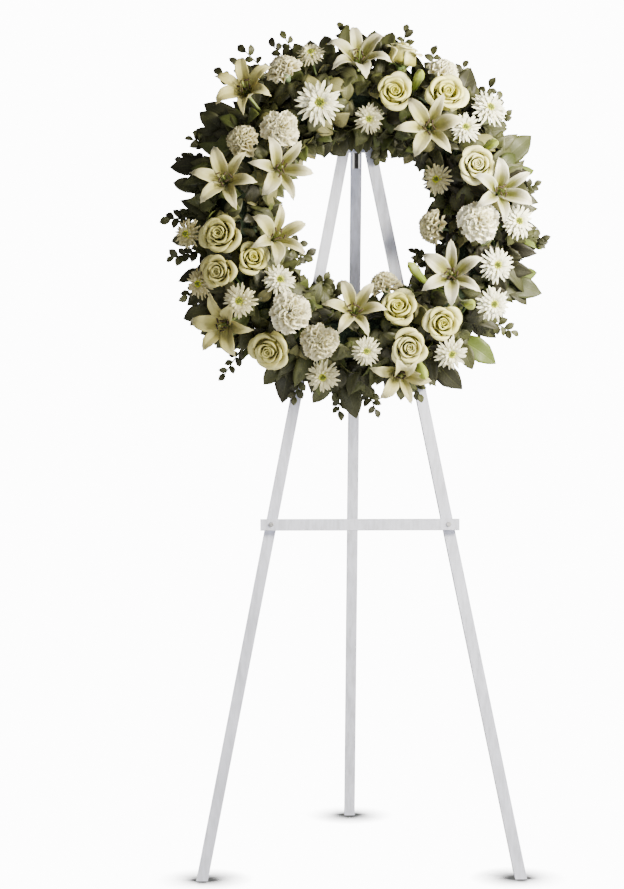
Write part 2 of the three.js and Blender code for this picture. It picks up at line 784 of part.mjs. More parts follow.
// A tepal's points after its lift: a turn about its root in the plane that holds the axis.
function liftedTepal({ across }, index, lift) {
  const path = tepalPath(across, index % 2 === 0);
  const [rootOut, rootUp] = path[0];
  const middle = turn(60 * index + 30);
  return path.map(([out, up]) => {
    const angle = Math.atan2(up - rootUp, out - rootOut) + lift;
    const run = Math.hypot(out - rootOut, up - rootUp);
    const reach = rootOut + run * Math.cos(angle);
    return onDisc(reach, middle, rootUp + run * Math.sin(angle));
  });
}

// The rings of one tepal: left edge, upper rib, right edge and lower rib.
function tepalRings(points, index, across) {
  const middle = turn(60 * index + 30);
  const along = vec(-Math.sin(middle), Math.cos(middle), 0);
  const widths = tepalHalfWidths[index % 2 === 0 ? 'inner' : 'outer'];
  return widths.map((half, k) => {
    const width = half * across / 112;
    const face = points[k + 2].clone().sub(points[k]).normalize().cross(along);
    const centre = points[k + 1];
    const edge = centre.clone().addScaledVector(face, width * 0.22);
    return [
      edge.clone().addScaledVector(along, -width),
      centre.clone().addScaledVector(face, PETAL_THICK / 2),
      edge.clone().addScaledVector(along, width),
      centre.clone().addScaledVector(face, -PETAL_THICK / 2),
    ];
  });
}

// Each head as an egg-shaped room, for bending tepals clear: middle height, half width, half height.
const headRoom = {
  rose: { height: 61, deep: 26 },
  carnation: { height: 62, deep: 25 },
  mum: { height: 66, deep: 12 },
  bud: { height: 72, deep: 27 },
};

const takenPoints = [];
const toHeads = heads.map((head) => headFrame(head).invert());

function tepalIsClear(samples, margin) {
  for (const [index, head] of heads.entries()) {
    const room = headRoom[head.kind];
    if (room) {
      const toHead = toHeads[index];
      for (const sample of samples) {
        const local = sample.clone().applyMatrix4(toHead);
        const flat = Math.hypot(local.x, local.y) / (head.across / 2 + margin);
        const tall = (local.z - room.height) / (room.deep + margin);
        if (Math.hypot(flat, tall) < 1) {
          return false;
        }
      }
    }
  }
  return samples.every((sample) => takenPoints.every((taken) => sample.distanceTo(taken) > 7));
}

function bentTepals(lily) {
  const frame = headFrame(lily);
  const own = [];
  const tepals = [];
  const steepest = 44;
  for (let index = 0; index < 6; index += 1) {
    let points;
    let rings;
    let samples;
    let clear = false;
    for (let degrees = 0; degrees <= steepest && !clear; degrees += 4) {
      points = liftedTepal(lily, index, turn(degrees));
      rings = tepalRings(points, index, lily.across);
      samples = [...rings.flat(), points[3]].map((point) => point.clone().applyMatrix4(frame));
      clear = tepalIsClear(samples, 2);
    }
    own.push(...samples);
    tepals.push({ rings, tip: points[3] });
  }
  takenPoints.push(...own);
  return tepals;
}

// Lily: six tepals on a narrow throat, six stamens and a style.
function lilyParts(lily) {
  const base = LILY_BASE;
  const tepals = bentTepals(lily);
  const layers = [
    { root: 4.2, rootHeight: base + 3, rootThick: 3.5, shift: 0, petal: (k) => tepals[k] },
    {
      root: 2.2,
      rootHeight: base + 8,
      rootThick: 2,
      shift: 0.5,
      tips: () => [0.4, 0.6].map((at) => ({ at, radius: 16, height: base + 36 })),
    },
  ];
  return [petalLayers(layers, 6, base - 4, base + 43)];
}

function budParts({ across }) {
  const half = across / 2;
  const ring = (reach, height, twist) => Array.from({ length: 6 }, (_, side) => {
    return onDisc(reach, turn(60 * side + twist), height);
  });
  const rings = [
    ring(half * 0.5, BUD_BASE + 2, 0), ring(half * 0.8, BUD_BASE + 16, 0),
    ring(half, BUD_BASE + 32, 0), ring(half * 0.6, BUD_BASE + 44, 0),
  ];
  return [skin(rings, vec(0, 0, BUD_BASE), vec(0, 0, BUD_BASE + 50))];
}

// The way of a side branch over the foam, bowed sideways where another stem stands in it.
function branchPath(from, to) {
  const others = heads.filter((head) => head !== from && head !== to)
    .map((head) => placeAt(head, BRANCH_HEIGHT));
  const steps = 4;
  let best = null;
  let bestGap = -1;
  for (const bow of [0, 0.12, -0.12, 0.24, -0.24, 0.36, -0.36, 0.5, -0.5]) {
    const points = [];
    for (let step = 0; step <= steps; step += 1) {
      const share = step / steps;
      const swell = bow * Math.sin(Math.PI * share);
      const clock = THREE.MathUtils.lerp(from.clock, to.clock, share);
      const tilt = THREE.MathUtils.lerp(from.tilt, to.tilt, share) + swell;
      const drift = -swell * Math.sign(to.tilt - from.tilt) * Math.abs(to.tilt - from.tilt) * 0.2;
      points.push(placeAt({ clock: clock + drift, tilt }, BRANCH_HEIGHT));
    }
    const route = new THREE.CatmullRomCurve3(points).getPoints(24);
    const gap = Math.min(...others.flatMap((other) => route.map((point) => point.distanceTo(other))));
    if (gap > bestGap + 0.5) {
      bestGap = gap;
      best = points;
    }
    if (gap > 2 * STEM_RADIUS + 3) {
      break;
    }
  }
  return best;
}

function sideBranch(from, to, top) {
  const path = branchPath(from, to);
  path[path.length - 1] = placeAt(to, BRANCH_HEIGHT + 3);
  path.push(placeAt(to, top + to.rise + 2));
  const toOwn = headFrame(from).invert();
  return stemAlong(path.map((point) => point.applyMatrix4(toOwn)), 1.6, 1.6, 3);
}

const stemHoles = [];

// A bloom in its head's frame on the wreath, on a stem that stands in the foam.
function plantBloom(name, head, parts, stemTop, material) {
  const stemFrame = bloomFrame(head);
  const frame = headFrame(head);
  const stem = uprightStem(STEM_END, stemTop + head.rise, STEM_RADIUS);
  stem.applyMatrix4(frame.clone().invert().multiply(stemFrame));
  const mesh = piece(name, fused([stem, ...parts]), material);
  mesh.applyMatrix4(frame);
  wreath.add(mesh);
  const wall = CLEAR / Math.cos(Math.PI / STEM_SIDES);
  const hole = uprightStem(STEM_END - CLEAR, BRANCH_HEIGHT + 5, STEM_RADIUS + wall);
  stemHoles.push(hole.applyMatrix4(stemFrame));
}

const numbered = (name, index) => `${name}_${String(index + 1).padStart(2, '0')}`;

function placedOn(parts, from, to) {
  const move = headFrame(from).invert().multiply(headFrame(to));
  return parts.map((part) => part.applyMatrix4(move));
}

function makeBlooms() {
  lilyHeads.forEach((head, index) => {
    const parts = lilyParts(head);
    for (const bud of budHeads.filter(({ lily }) => lily === index)) {
      parts.push(sideBranch(head, bud, BUD_BASE), ...placedOn(budParts(bud), head, bud));
    }
    plantBloom(numbered('lily', index), head, parts, LILY_BASE, finish.lily());
  });
  roseHeads.forEach((head, index) => {
    plantBloom(numbered('rose', index), head, roseParts(head), ROSE_BASE + 2, finish.rose());
  });
  carnationHeads.forEach((head, index) => {
    const name = numbered('carnation', index);
    plantBloom(name, head, carnationParts(head), CARNATION_BASE + 2, finish.carnation());
  });
  sprayHeads.forEach(([head, ...others], index) => {
    const parts = mumParts(head);
    for (const other of others) {
      parts.push(sideBranch(head, other, MUM_BASE), ...placedOn(mumParts(other), head, other));
    }
    plantBloom(numbered('mum_spray', index), head, parts, MUM_BASE + 1, finish.mum());
  });
}

// Leafy stems along the ring's outer and inner rims, behind the blooms.
const greens = [
  { side: 1, from: -12, to: 30, large: [27], sprigs: [[-6, 296]], seed: 3 },
  { side: 1, from: 38, to: 86, large: [54, 80, 89], sprigs: [[66, 304]], seed: 5 },
  { side: 1, from: 95, to: 132, large: [], sprigs: [[112, 296], [125, 306]], seed: 8 },
  { side: 1, from: 137, to: 180, large: [142, 163], sprigs: [[153, 300], [179, 304]], seed: 13 },
  { side: 1, from: 187, to: 228, large: [212], sprigs: [[191, 304], [229, 330]], seed: 21 },
  { side: 1, from: 236, to: 278, large: [247, 269], sprigs: [[264, 309], [275, 306]], seed: 34 },
  { side: 1, from: 285, to: 338, large: [301, 314, 339], sprigs: [[289, 296], [324, 304]], seed: 55 },
  { side: -1, from: 62, to: 108, large: [101], sprigs: [[73, 112]], seed: 7 },
  { side: -1, from: 200, to: 246, large: [], sprigs: [[212, 98], [240, 108]], seed: 11 },
  { side: -1, from: -38, to: 8, large: [8], sprigs: [[-29, 103]], seed: 17 },
];

const GREENS_DEPTH = 10;
const GREENS_ROOT = 210;
const GREENS_STEM = 1.6;
const RIM_OFFSET = 46;
const LARGE_LEAF_TIP = 122;
const INNER_LEAF_TIP = 84;

// A leaf from its foot on a stem to its tip, facing forward with a little roll.
function leafBlade(foot, tip, halfWidth, roll, arch) {
  const run = tip.clone().sub(foot);
  const flatSide = vec(-run.y, run.x, 0).normalize();
  const side = flatSide.applyAxisAngle(run.clone().normalize(), roll);
  const face = run.clone().normalize().cross(side);
  if (face.z < 0) {
    face.negate();
  }
  const station = (share, width) => ({
    at: foot.clone().lerp(tip, share).addScaledVector(vec(0, 0, 1), arch * Math.sin(Math.PI * share)),
    across: side.clone().multiplyScalar(width),
    face,
    cup: width * 0.12,
  });
  const stations = [station(0.35, 1.4), station(0.6, halfWidth), station(0.82, halfWidth * 0.75)];
  return blade(foot, stations, tip, LEAF_BLADE_THICK);
}

function smallLeaf(foot, tip, halfWidth, roll) {
  const run = tip.clone().sub(foot);
  const side = vec(-run.y, run.x, 0).normalize().applyAxisAngle(run.clone().normalize(), roll);
  const face = run.clone().normalize().cross(side).multiplyScalar(LEAF_BLADE_THICK);
  const middle = foot.clone().lerp(tip, 0.6);
  const ring = [middle.clone().addScaledVector(side, -halfWidth), middle.clone().add(face),
    middle.clone().addScaledVector(side, halfWidth)];
  return skin([ring], foot, tip);
}

function sprigParts(foot, tip, random) {
  const parts = [stemAlong([foot, tip], 1, 0.8, 3)];
  const run = tip.clone().sub(foot);
  const side = vec(-run.y, run.x, 0).normalize();
  for (let k = 0; k < 5; k += 1) {
    const share = k < 4 ? 0.45 + 0.14 * k : 0.96;
    const start = foot.clone().addScaledVector(run, share);
    const out = k < 4 ? side.clone().multiplyScalar(k % 2 ? 9 : -9) : vec(0, 0, 0);
    const end = start.clone().add(out).addScaledVector(run.clone().normalize(), k < 4 ? 7 : 12);
    end.z = Math.max(3, end.z + 5 * (random() - 0.5));
    parts.push(smallLeaf(start, end, 3.6, turn(40) * (random() - 0.5)));
  }
  return parts;
}

function makeGreens() {
  greens.forEach(({ side, from, to, large, sprigs, seed }, index) => {
    const random = seeded(seed);
    const rim = RING_RADIUS + side * RIM_OFFSET;
    const start = turn(from);
    const end = turn(to);
    const root = onDisc(RING_RADIUS + side * (GREENS_ROOT - RING_RADIUS), start, GREENS_DEPTH + 5);
    const exit = onDisc(RING_RADIUS + side * (FOAM_HALF_WIDTH + 6), start, GREENS_DEPTH + 5);
    const path = [exit];
    const bends = 4;
    for (let k = 1; k <= bends; k += 1) {
      path.push(onDisc(rim, THREE.MathUtils.lerp(start, end, k / bends), GREENS_DEPTH));
    }
    const parts = [
      stemAlong([root, exit.clone().lerp(root, -0.1)], GREENS_STEM, GREENS_STEM, STEM_SIDES),
      stemAlong(path, GREENS_STEM, 1.2, 3),
    ];
    const footAt = (clock) => {
      const share = THREE.MathUtils.clamp((clock - start) / (end - start), 1.05 / bends, 0.97);
      const before = Math.floor(share * bends);
      return path[before].clone().lerp(path[before + 1], share * bends - before);
    };
    for (const degrees of large) {
      const clock = turn(degrees);
      const reach = side > 0 ? RING_RADIUS + LARGE_LEAF_TIP : RING_RADIUS - INNER_LEAF_TIP;
      const foot = footAt(clock - side * turn(4));
      parts.push(leafBlade(foot, onDisc(reach, clock, 6 + 5 * random()), 17, turn(30) * (random() - 0.5), 2));
    }
    for (const [degrees, reach] of sprigs) {
      const clock = turn(degrees);
      parts.push(...sprigParts(footAt(clock - turn(3)), onDisc(reach, clock, 6 + 4 * random()), random));
    }
    wreath.add(piece(numbered('greens', index), fused(parts), finish.greens()));
    const wall = CLEAR / Math.cos(Math.PI / STEM_SIDES);
    const holeEnd = root.clone().lerp(exit, -CLEAR / root.distanceTo(exit));
    const holeMouth = exit.clone().lerp(root, -0.5);
    stemHoles.push(stemAlong([holeEnd, holeMouth], GREENS_STEM + wall, GREENS_STEM + wall, STEM_SIDES));
  });
}

function makeFoam() {
  const floor = CLEAR + TRAY_FLOOR + CLEAR;
  const inner = RING_RADIUS - FOAM_HALF_WIDTH;
  const outer = RING_RADIUS + FOAM_HALF_WIDTH;
  const ring = ringFrom([
    [inner, floor], [outer, floor], [outer, FOAM_SIDE_UP],
    [RING_RADIUS + FOAM_SHOULDER_OUT, FOAM_SHOULDER_UP], [RING_RADIUS, FOAM_TOP],
    [RING_RADIUS - FOAM_SHOULDER_OUT, FOAM_SHOULDER_UP], [inner, FOAM_SIDE_UP],
  ], RING_FACETS);
  wreath.add(piece('foam_ring', cutFrom(ring, stemHoles), finish.foam()));
}

makeFrontLegs();
makeCrossbar();
makeHeadPlate();
makePeg();
makeHinge();
levelStick('back_leg', back, vec(0, 0, 0), 0, -KNUCKLE_RADIUS - CLEAR, BACK_LEG_HORN);
makeTray();
makeBlooms();
makeGreens();
makeFoam();

export default object;
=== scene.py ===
# Standing funeral wreath: petals, leaves, finishes and studio around the fixed CAD frame.
# Wreath points are worked out in millimetres in the ring's own frame, where X is to the right,
# Y up the easel's lean and Z towards the viewer, and are turned into the easel's frame in metres.

import math

import bpy
import numpy as np
from bpy.props import (
    FloatProperty,
    FloatVectorProperty,
    IntProperty,
    PointerProperty,
)
from mathutils import Euler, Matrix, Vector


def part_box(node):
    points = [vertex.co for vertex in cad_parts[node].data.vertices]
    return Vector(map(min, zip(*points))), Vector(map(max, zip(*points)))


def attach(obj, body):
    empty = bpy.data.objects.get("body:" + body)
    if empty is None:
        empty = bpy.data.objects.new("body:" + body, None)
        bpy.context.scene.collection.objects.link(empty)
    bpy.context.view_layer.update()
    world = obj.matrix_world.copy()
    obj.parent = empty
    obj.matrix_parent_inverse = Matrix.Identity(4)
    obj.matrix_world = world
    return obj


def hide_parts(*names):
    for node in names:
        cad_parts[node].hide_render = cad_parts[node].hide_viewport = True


bl_info = {
    "name": "Funeral wreath dresser",
    "version": (1, 0, 0),
    "blender": (4, 5, 0),
    "location": "View3D > Sidebar > Wreath",
    "description": "Dresses the wreath's CAD frame with flowers, foliage, paint and a studio",
    "category": "Object",
}

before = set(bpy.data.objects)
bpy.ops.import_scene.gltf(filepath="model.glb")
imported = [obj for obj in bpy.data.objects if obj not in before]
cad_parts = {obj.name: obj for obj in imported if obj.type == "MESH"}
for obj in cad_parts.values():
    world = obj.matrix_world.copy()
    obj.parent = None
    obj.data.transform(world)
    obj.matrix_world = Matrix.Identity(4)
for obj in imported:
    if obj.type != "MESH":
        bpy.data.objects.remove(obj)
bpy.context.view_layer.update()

# Ring and easel: lengths in millimetres. The ring's centre is WREATH_UP along the lean
LEAN = math.radians(9.45)
WREATH_UP = 1046
RING_RADIUS = 195
CORE_DEPTH = 27
SEAT_HEIGHT = 60
WIDEST_TILT = math.radians(74)
# Heights from the ring's core: where each kind of head begins, where a stem ends in the foam,
# and where a side branch runs
LILY_BASE = 54
ROSE_BASE = 38
CARNATION_BASE = 40
MUM_BASE = 59
BUD_BASE = 48
STEM_END = 14
BRANCH_HEIGHT = 35
# The width that the lily's own measures are given for
LILY_ACROSS = 112
# Degrees of spin for each degree round the ring, for heads that are given none
SPIN_STEP = 7
# Half of the painted shade added to each head on the left, away from the light on the right: its
# petals are painted duller and tanner
SHADY_SIDE = 0.17
# Halvings in the search for a tilt, and rounds of pushing crowded heads apart
HALVINGS = 30
PUSH_ROUNDS = 150
PUSH_SHARE = 0.25

# Each bloom: distance from the wreath's centre, degrees anticlockwise from the right, width,
# extra stem, and last how far it turns from clear white (0) to a dull tan (1): partly the bloom's
# own tan and partly painted shade for blooms away from the light. A lily's spin comes before that
LILIES = [
    (253, 90, 116, 0, 8, 0.1),
    (267, 132, 112, 20, 20, 0.75),
    (218, 167, 114, 5, 2, 0.4),
    (149, 151, 114, 5, 24, 0.12),
    (141, 196, 108, 10, 10, 0.3),
    (276, 219, 112, 20, 12, 0.8),
    (160, 266, 108, 10, 30, 0.4),
    (176, 324, 114, 10, 4, 0.08),
    (184, 51, 116, 10, 16, 0.5),
    (221, 8, 114, 0, 26, 0.0),
    (255, 284, 108, 10, 4, 0.65),
]
# The roses give how yellow-green their hearts are, in place of a spin
ROSES = [
    (198, 74, 65, 0, 0.9, 0.15),
    (247, 48, 73, 20, 0.8, 0.05),
    (295, 75, 62, 19, 0.15, 0.05),
    (230, 192, 72, 0, 0.6, 0.4),
    (202, 211, 56, 0, 0.9, 0.25),
    (240, 208, 60, 20, 0.4, 0.75),
    (139, 290, 66, 10, 0.8, 0.2),
    (231, 294, 66, 20, 0.35, 0.35),
    (224, 298, 64, 10, 0.75, 0.1),
    (212, 24, 66, 15, 0.3, 0.05),
    (261, 237, 71, 14, 0.5, 0.5),
]
CARNATIONS = [
    (185, 134, 68, 0, 0.25),
    (198, 356, 74, 10, 0),
    (187, 232, 74, 20, 0.2),
    (223, 248, 66, 0, 0.5),
    (105, 353, 60, 20, 0.85),
    (105, 290, 58, 20, 0.75),
    (218, 148, 60, 5, 0.7),
    (271, 115, 66, 19, 0.45),
    (295, 58, 62, 19, 0.05),
]
# A spray's first head stands on its own stem
MUM_SPRAYS = [
    [
        (187, 110, 82, 0, 0),
        (161, 82, 54, 0, 0.55),
        (295, 108, 52, 20, 0.5),
    ],
    [
        (229, 46, 56, 0, 0.1),
        (264, 42, 70, 20, 0),
        (137, 26, 58, 0, 0.9),
    ],
    [
        (231, 339, 64, 0, 0),
        (255, 325, 62, 20, 0),
        (262, 303, 62, 9, 0.3),
        (241, 357, 62, 14, 0),
    ],
    [
        (222, 272, 52, 10, 0.35),
        (251, 254, 62, 5, 0.55),
    ],
    [
        (236, 209, 60, 20, 0.5),
        (295, 203, 54, 20, 0.8),
        (275, 186, 54, 19, 0.8),
    ],
    [
        (185, 225, 58, 0, 0.1),
    ],
]
# Lily buds, with the place in LILIES of the lily whose stem carries each
BUDS = [
    (229, 68, 15, 0, 0),
    (217, 25, 15, 0, 9),
    (225, 319, 15, 0, 7),
    (239, 293, 16, 14, 10),
    (121, 315, 15, 0, 7),
]
# Each kind's base and face height, its seat, the room that it needs there as a share of its
# width, and how much of its stem's tilt the head takes back to face forward
KINDS = {
    "lily": {"base": LILY_BASE, "face": 66, "seat": LILY_BASE + 6, "room": 0.2, "nod": 0.65},
    "rose": {"base": ROSE_BASE, "face": 78, "seat": ROSE_BASE + 26, "room": 0.47, "nod": 0.45},
    "carnation": {
        "base": CARNATION_BASE,
        "face": 72,
        "seat": CARNATION_BASE + 22,
        "room": 0.47,
        "nod": 0.3,
    },
    "mum": {"base": MUM_BASE, "face": 70, "seat": MUM_BASE + 5, "room": 0.46, "nod": 0.55},
    "bud": {"base": BUD_BASE, "face": 84, "seat": BUD_BASE + 20, "room": 0.6, "nod": 0.0},
}

# The rose that shows its side
SIDEWAYS_ROSE = ("rose", 295, 75)

# Leafy stems: outer (1) or inner (-1) side of the ring, from and to in degrees, the large
# leaves' degrees, the sprigs' degrees and reach, and a seed
GREENS = [
    (1, -12, 30, [27], [(-6, 296)], 3),
    (1, 38, 86, [54, 80, 89], [(66, 304)], 5),
    (1, 95, 132, [], [(112, 296), (125, 306)], 8),
    (1, 137, 180, [142, 163], [(153, 300), (179, 304)], 13),
    (1, 187, 228, [212], [(191, 304), (229, 330)], 21),
    (1, 236, 278, [247, 269], [(264, 309), (275, 306)], 34),
    (1, 285, 338, [301, 314, 339], [(289, 296), (324, 304)], 55),
    (-1, 62, 108, [101], [(73, 112)], 7),
    (-1, 200, 246, [], [(212, 98), (240, 108)], 11),
    (-1, -38, 8, [8], [(-29, 103)], 17),
]

# Leaves that break the outline: degrees, reach and length
RIM_LEAVES = [
    (80, 322, 56), (85, 316, 52), (93, 322, 54), (100, 315, 52), (104, 312, 50), (109, 312, 52),
    (50, 300, 50), (40, 300, 46), (17, 297, 46), (145, 312, 54), (151, 306, 50), (168, 304, 48),
    (186, 302, 50), (198, 304, 50), (206, 306, 52), (209, 322, 52), (216, 312, 56), (222, 306, 50),
    (240, 304, 54), (256, 302, 52), (283, 296, 48), (307, 300, 48), (334, 302, 48), (344, 300, 46),
    (352, 300, 42), (134, 126, 44), (124, 124, 42), (12, 118, 40), (2, 112, 42), (350, 116, 40),
    (238, 120, 44), (226, 122, 40), (300, 122, 40), (72, 122, 40), (84, 116, 46), (90, 112, 46),
    (96, 117, 46), (103, 128, 38), (110, 124, 40), (117, 124, 40), (52, 122, 42),
]
# Those of them that carry no painted shadow, by their degrees
GREEN_RIM_LEAVES = (17, 344, 352)
TAN_RIM_LEAVES = (134, 124, 103, 110, 52)
# More small sprigs: degrees and reach
EXTRA_SPRIGS = [
    (76, 324), (95, 322), (111, 328), (115, 322), (123, 336), (127, 326), (132, 330),
    (46, 313), (42, 306), (56, 312), (45, 298), (12, 292), (204, 302), (219, 308),
    (250, 304), (355, 298), (36, 296), (160, 302), (200, 100), (252, 112),
]
# Painted shadow and fresh green of a large leaf, and those at these degrees that stand out
LARGE_LEAF_SHADE = (0.6, 0.0)
BRIGHT_LARGE_LEAVES = {314: (0.1, 0.5), 27: (0.5, 0.1), 339: (0.3, 0.1)}
# A leaf's tint is how much of it is in shadow, fresh green and tan
SHADOWED_TINT, GREEN_TINT, TAN_TINT = (0.5, 0, 0), (0, 0.5, 0), (0, 0, 0.6)
SPRIG_TINT, TWIG_TINT, RIM_TWIG_TINT = (0.45, 0, 0), (0.3, 0, 0), (0.2, 0, 0)
PLAIN = (0, 0, 0)

# What each kind's random draws start from
LILY_SEED, ROSE_SEED, CARNATION_SEED, MUM_SEED, GREENS_SEED, FILLING_SEED = (
    100, 200, 300, 400, 500, 900,
)
# Thickness of petals, rays and leaves in millimetres
ROSE_THICK, CARNATION_THICK, RAY_THICK, LEAF_THICK = 0.55, 0.5, 0.6, 0.5
# A piece's paints, in the order of its material slots
PETAL, GREEN = 0, 1
ANTHER, STIGMA, BUD = 2, 3, 4
FLORET, EYE = 2, 3
LEAF, TWIG = 0, 1


# ---------------------------------------------------------------- places on the ring


def on_disc(reach, clock, depth=0.0):
    return np.array([reach * math.cos(clock), reach * math.sin(clock), depth])


def aside_of(clock, depth=0.0):
    """A step at right angles to the direction of a clock angle."""
    return np.array([-math.sin(clock), math.cos(clock), depth])


def ring_frame(clock, tilt, spin=0.0):
    """A bloom's frame: its origin on the ring's core circle, its Z along the bloom's axis."""
    radial, along = on_disc(1, clock), aside_of(clock)
    axis = radial * math.sin(tilt) + np.array([0.0, 0.0, math.cos(tilt)])
    place = np.eye(4)
    place[:3, 0] = -along
    place[:3, 1] = -np.cross(axis, along)
    place[:3, 2] = axis
    place[:3, 3] = radial * RING_RADIUS + np.array([0.0, 0.0, CORE_DEPTH])
    turn = np.eye(4)
    turn[0, 0] = turn[1, 1] = math.cos(spin)
    turn[1, 0] = math.sin(spin)
    turn[0, 1] = -math.sin(spin)
    return place @ turn


def wreath_frame():
    """From wreath millimetres to the easel frame's metres."""
    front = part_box("front_leg_left")[0].y * 1000
    sine, cosine = math.sin(LEAN), math.cos(LEAN)
    place = np.eye(4)
    place[:3, :3] = [[1, 0, 0], [0, sine, -cosine], [0, cosine, sine]]
    place[:3, 3] = [0, WREATH_UP * sine + front, WREATH_UP * cosine]
    place[:3] *= 0.001
    return place


WREATH = wreath_frame()


def moved(points, place):
    return np.asarray(points, float) @ place[:3, :3].T + place[:3, 3]


def bloom_frame(clock, tilt, nod, base, rise, spin=0.0):
    """A head's frame: on the top of its stem, and turned there to face forward more."""
    stem, head = ring_frame(clock, tilt), ring_frame(clock, tilt * (1 - nod), spin)
    head[:3, 3] = stem[:3, 3] + stem[:3, 2] * (base + rise) - head[:3, 2] * base
    return head


def tilt_for(reach, rise, kind, nod):
    """The tilt of a stem that brings its head's face to its reach, found by halving."""
    low, high = -WIDEST_TILT, WIDEST_TILT
    base, face = KINDS[kind]["base"], KINDS[kind]["face"]
    for _ in range(HALVINGS):
        tilt = (low + high) / 2
        out = (base + rise) * math.sin(tilt) + (face - base) * math.sin(tilt * (1 - nod))
        if RING_RADIUS + out < reach:
            low = tilt
        else:
            high = tilt
    return (low + high) / 2


def enrolled_heads():
    """Every head where the tables put it, by kind: lilies, roses, carnations, mums and buds."""
    mums = [row for spray in MUM_SPRAYS for row in spray]
    rows = [("lily", row[:4], row[4], row[5], 0.0) for row in LILIES]
    rows += [("rose", row[:4], row[1] * SPIN_STEP, row[5], row[4]) for row in ROSES]
    rows += [("carnation", row[:4], row[1] * SPIN_STEP, row[4], 0.0) for row in CARNATIONS]
    rows += [("mum", row[:4], row[1] * SPIN_STEP, row[4], 0.0) for row in mums]
    rows += [("bud", row[:4], row[1] * SPIN_STEP, 0.0, 0.0) for row in BUDS]
    heads = []
    for kind, (reach, clock, across, rise), spin, tan_and_shade, heart in rows:
        nod = 0.0 if (kind, reach, clock) == SIDEWAYS_ROSE else KINDS[kind]["nod"]
        head = {"kind": kind, "across": across, "rise": rise, "tan_and_shade": tan_and_shade, "heart": heart}
        head["nod"] = nod
        head["clock"] = math.radians(clock)
        head["tilt"] = tilt_for(reach, rise, kind, nod)
        head["spin"] = math.radians(spin)
        # Painted shade: heads on the left, away from the light, are painted duller
        head["tan_and_shade"] = min(1.0, tan_and_shade + SHADY_SIDE * (1 - math.cos(head["clock"])))
        heads.append(head)
    return heads


def settled_heads():
    """Every head in order, after crowded heads have pushed each other apart along the ring."""
    heads = enrolled_heads()
    clock, tilt, rise, nod = (
        np.array([head[key] for head in heads]) for key in ("clock", "tilt", "rise", "nod")
    )
    base, seat, room = (
        np.array([KINDS[head["kind"]][key] for head in heads]) for key in ("base", "seat", "room")
    )
    room = room * np.array([head["across"] for head in heads])
    both = room[:, None] + room[None, :] + 1
    upright = np.array([0.0, 0.0, 1.0])
    for _ in range(PUSH_ROUNDS):
        radial = np.stack([np.cos(clock), np.sin(clock), np.zeros_like(clock)], 1)
        along = np.stack([-np.sin(clock), np.cos(clock), np.zeros_like(clock)], 1)
        axis = radial * np.sin(tilt)[:, None] + upright * np.cos(tilt)[:, None]
        turned = tilt * (1 - nod)
        face = radial * np.sin(turned)[:, None] + upright * np.cos(turned)[:, None]
        place = radial * RING_RADIUS + upright * CORE_DEPTH
        place = place + axis * (base + rise)[:, None] + face * (seat - base)[:, None]
        apart = place[:, None] - place[None, :]
        gap = np.linalg.norm(apart, axis=2)
        np.fill_diagonal(gap, 1e9)
        lack = np.maximum(both - gap, 0)
        push = (apart / gap[:, :, None] * (lack * PUSH_SHARE)[:, :, None]).sum(1)
        across = radial * np.cos(tilt)[:, None] - upright * np.sin(tilt)[:, None]
        reach = RING_RADIUS + SEAT_HEIGHT * np.sin(tilt)
        clock = clock + (push * along).sum(1) / reach
        tilt = np.clip(tilt + (push * across).sum(1) / SEAT_HEIGHT, -WIDEST_TILT, WIDEST_TILT)
    for index, head in enumerate(heads):
        head["clock"] = float(clock[index])
        head["tilt"] = float(tilt[index])
        own = KINDS[head["kind"]]["base"]
        head["stem"] = ring_frame(head["clock"], head["tilt"])
        head["frame"] = bloom_frame(
            head["clock"], head["tilt"], head["nod"], own, head["rise"], head["spin"]
        )
    return heads


HEADS = settled_heads()


def heads_of(kind):
    return [head for head in HEADS if head["kind"] == kind]


# ---------------------------------------------------------------- meshes


def axis_points(base, heights):
    """Points on a head's own axis."""
    return [[0, 0, base + height] for height in heights]


def smooth(value):
    """A share from 0 to 1 that starts and stops softly."""
    value = np.clip(value, 0.0, 1.0)
    return value * value * (3 - 2 * value)


def along_stops(where, stops):
    """A value that runs smoothly through (place, value) stops."""
    places = np.array([stop[0] for stop in stops], float)
    values = np.array([stop[1] for stop in stops], float)
    where = np.asarray(where, float)
    index = np.clip(np.searchsorted(places, where) - 1, 0, len(places) - 2)
    share = (where - places[index]) / (places[index + 1] - places[index])
    return values[index] + (values[index + 1] - values[index]) * smooth(share)


def through(points, count):
    """Evenly spread points on a smooth curve through the given ones."""
    points = np.asarray(points, float)
    ends = np.vstack([2 * points[0] - points[1], points, 2 * points[-1] - points[-2]])
    fine = []
    for k in range(len(points) - 1):
        a, b, c, d = ends[k : k + 4]
        for share in np.linspace(0, 1, 12, endpoint=k == len(points) - 2):
            fine.append(
                0.5
                * (
                    2 * b
                    + (c - a) * share
                    + (2 * a - 5 * b + 4 * c - d) * share**2
                    + (3 * b - a - 3 * c + d) * share**3
                )
            )
    fine = np.array(fine)
    run = np.concatenate([[0], np.cumsum(np.linalg.norm(np.diff(fine, axis=0), axis=1))])
    wanted = np.linspace(0, run[-1], count)
    return np.stack([np.interp(wanted, run, fine[:, k]) for k in range(fine.shape[1])], 1)


def headings(line):
    """The direction of a line at each of its points."""
    steps = np.gradient(line, axis=0)
    return steps / np.linalg.norm(steps, axis=1, keepdims=True)


def blade(line, across, face, width, v, lift):
    """A grid over a middle line: as wide as width to each side, and lifted off along its face."""
    return (
        line[:, None]
        + across * (width[:, None] * v[None, :])[:, :, None]
        + face * lift[:, :, None]
    )


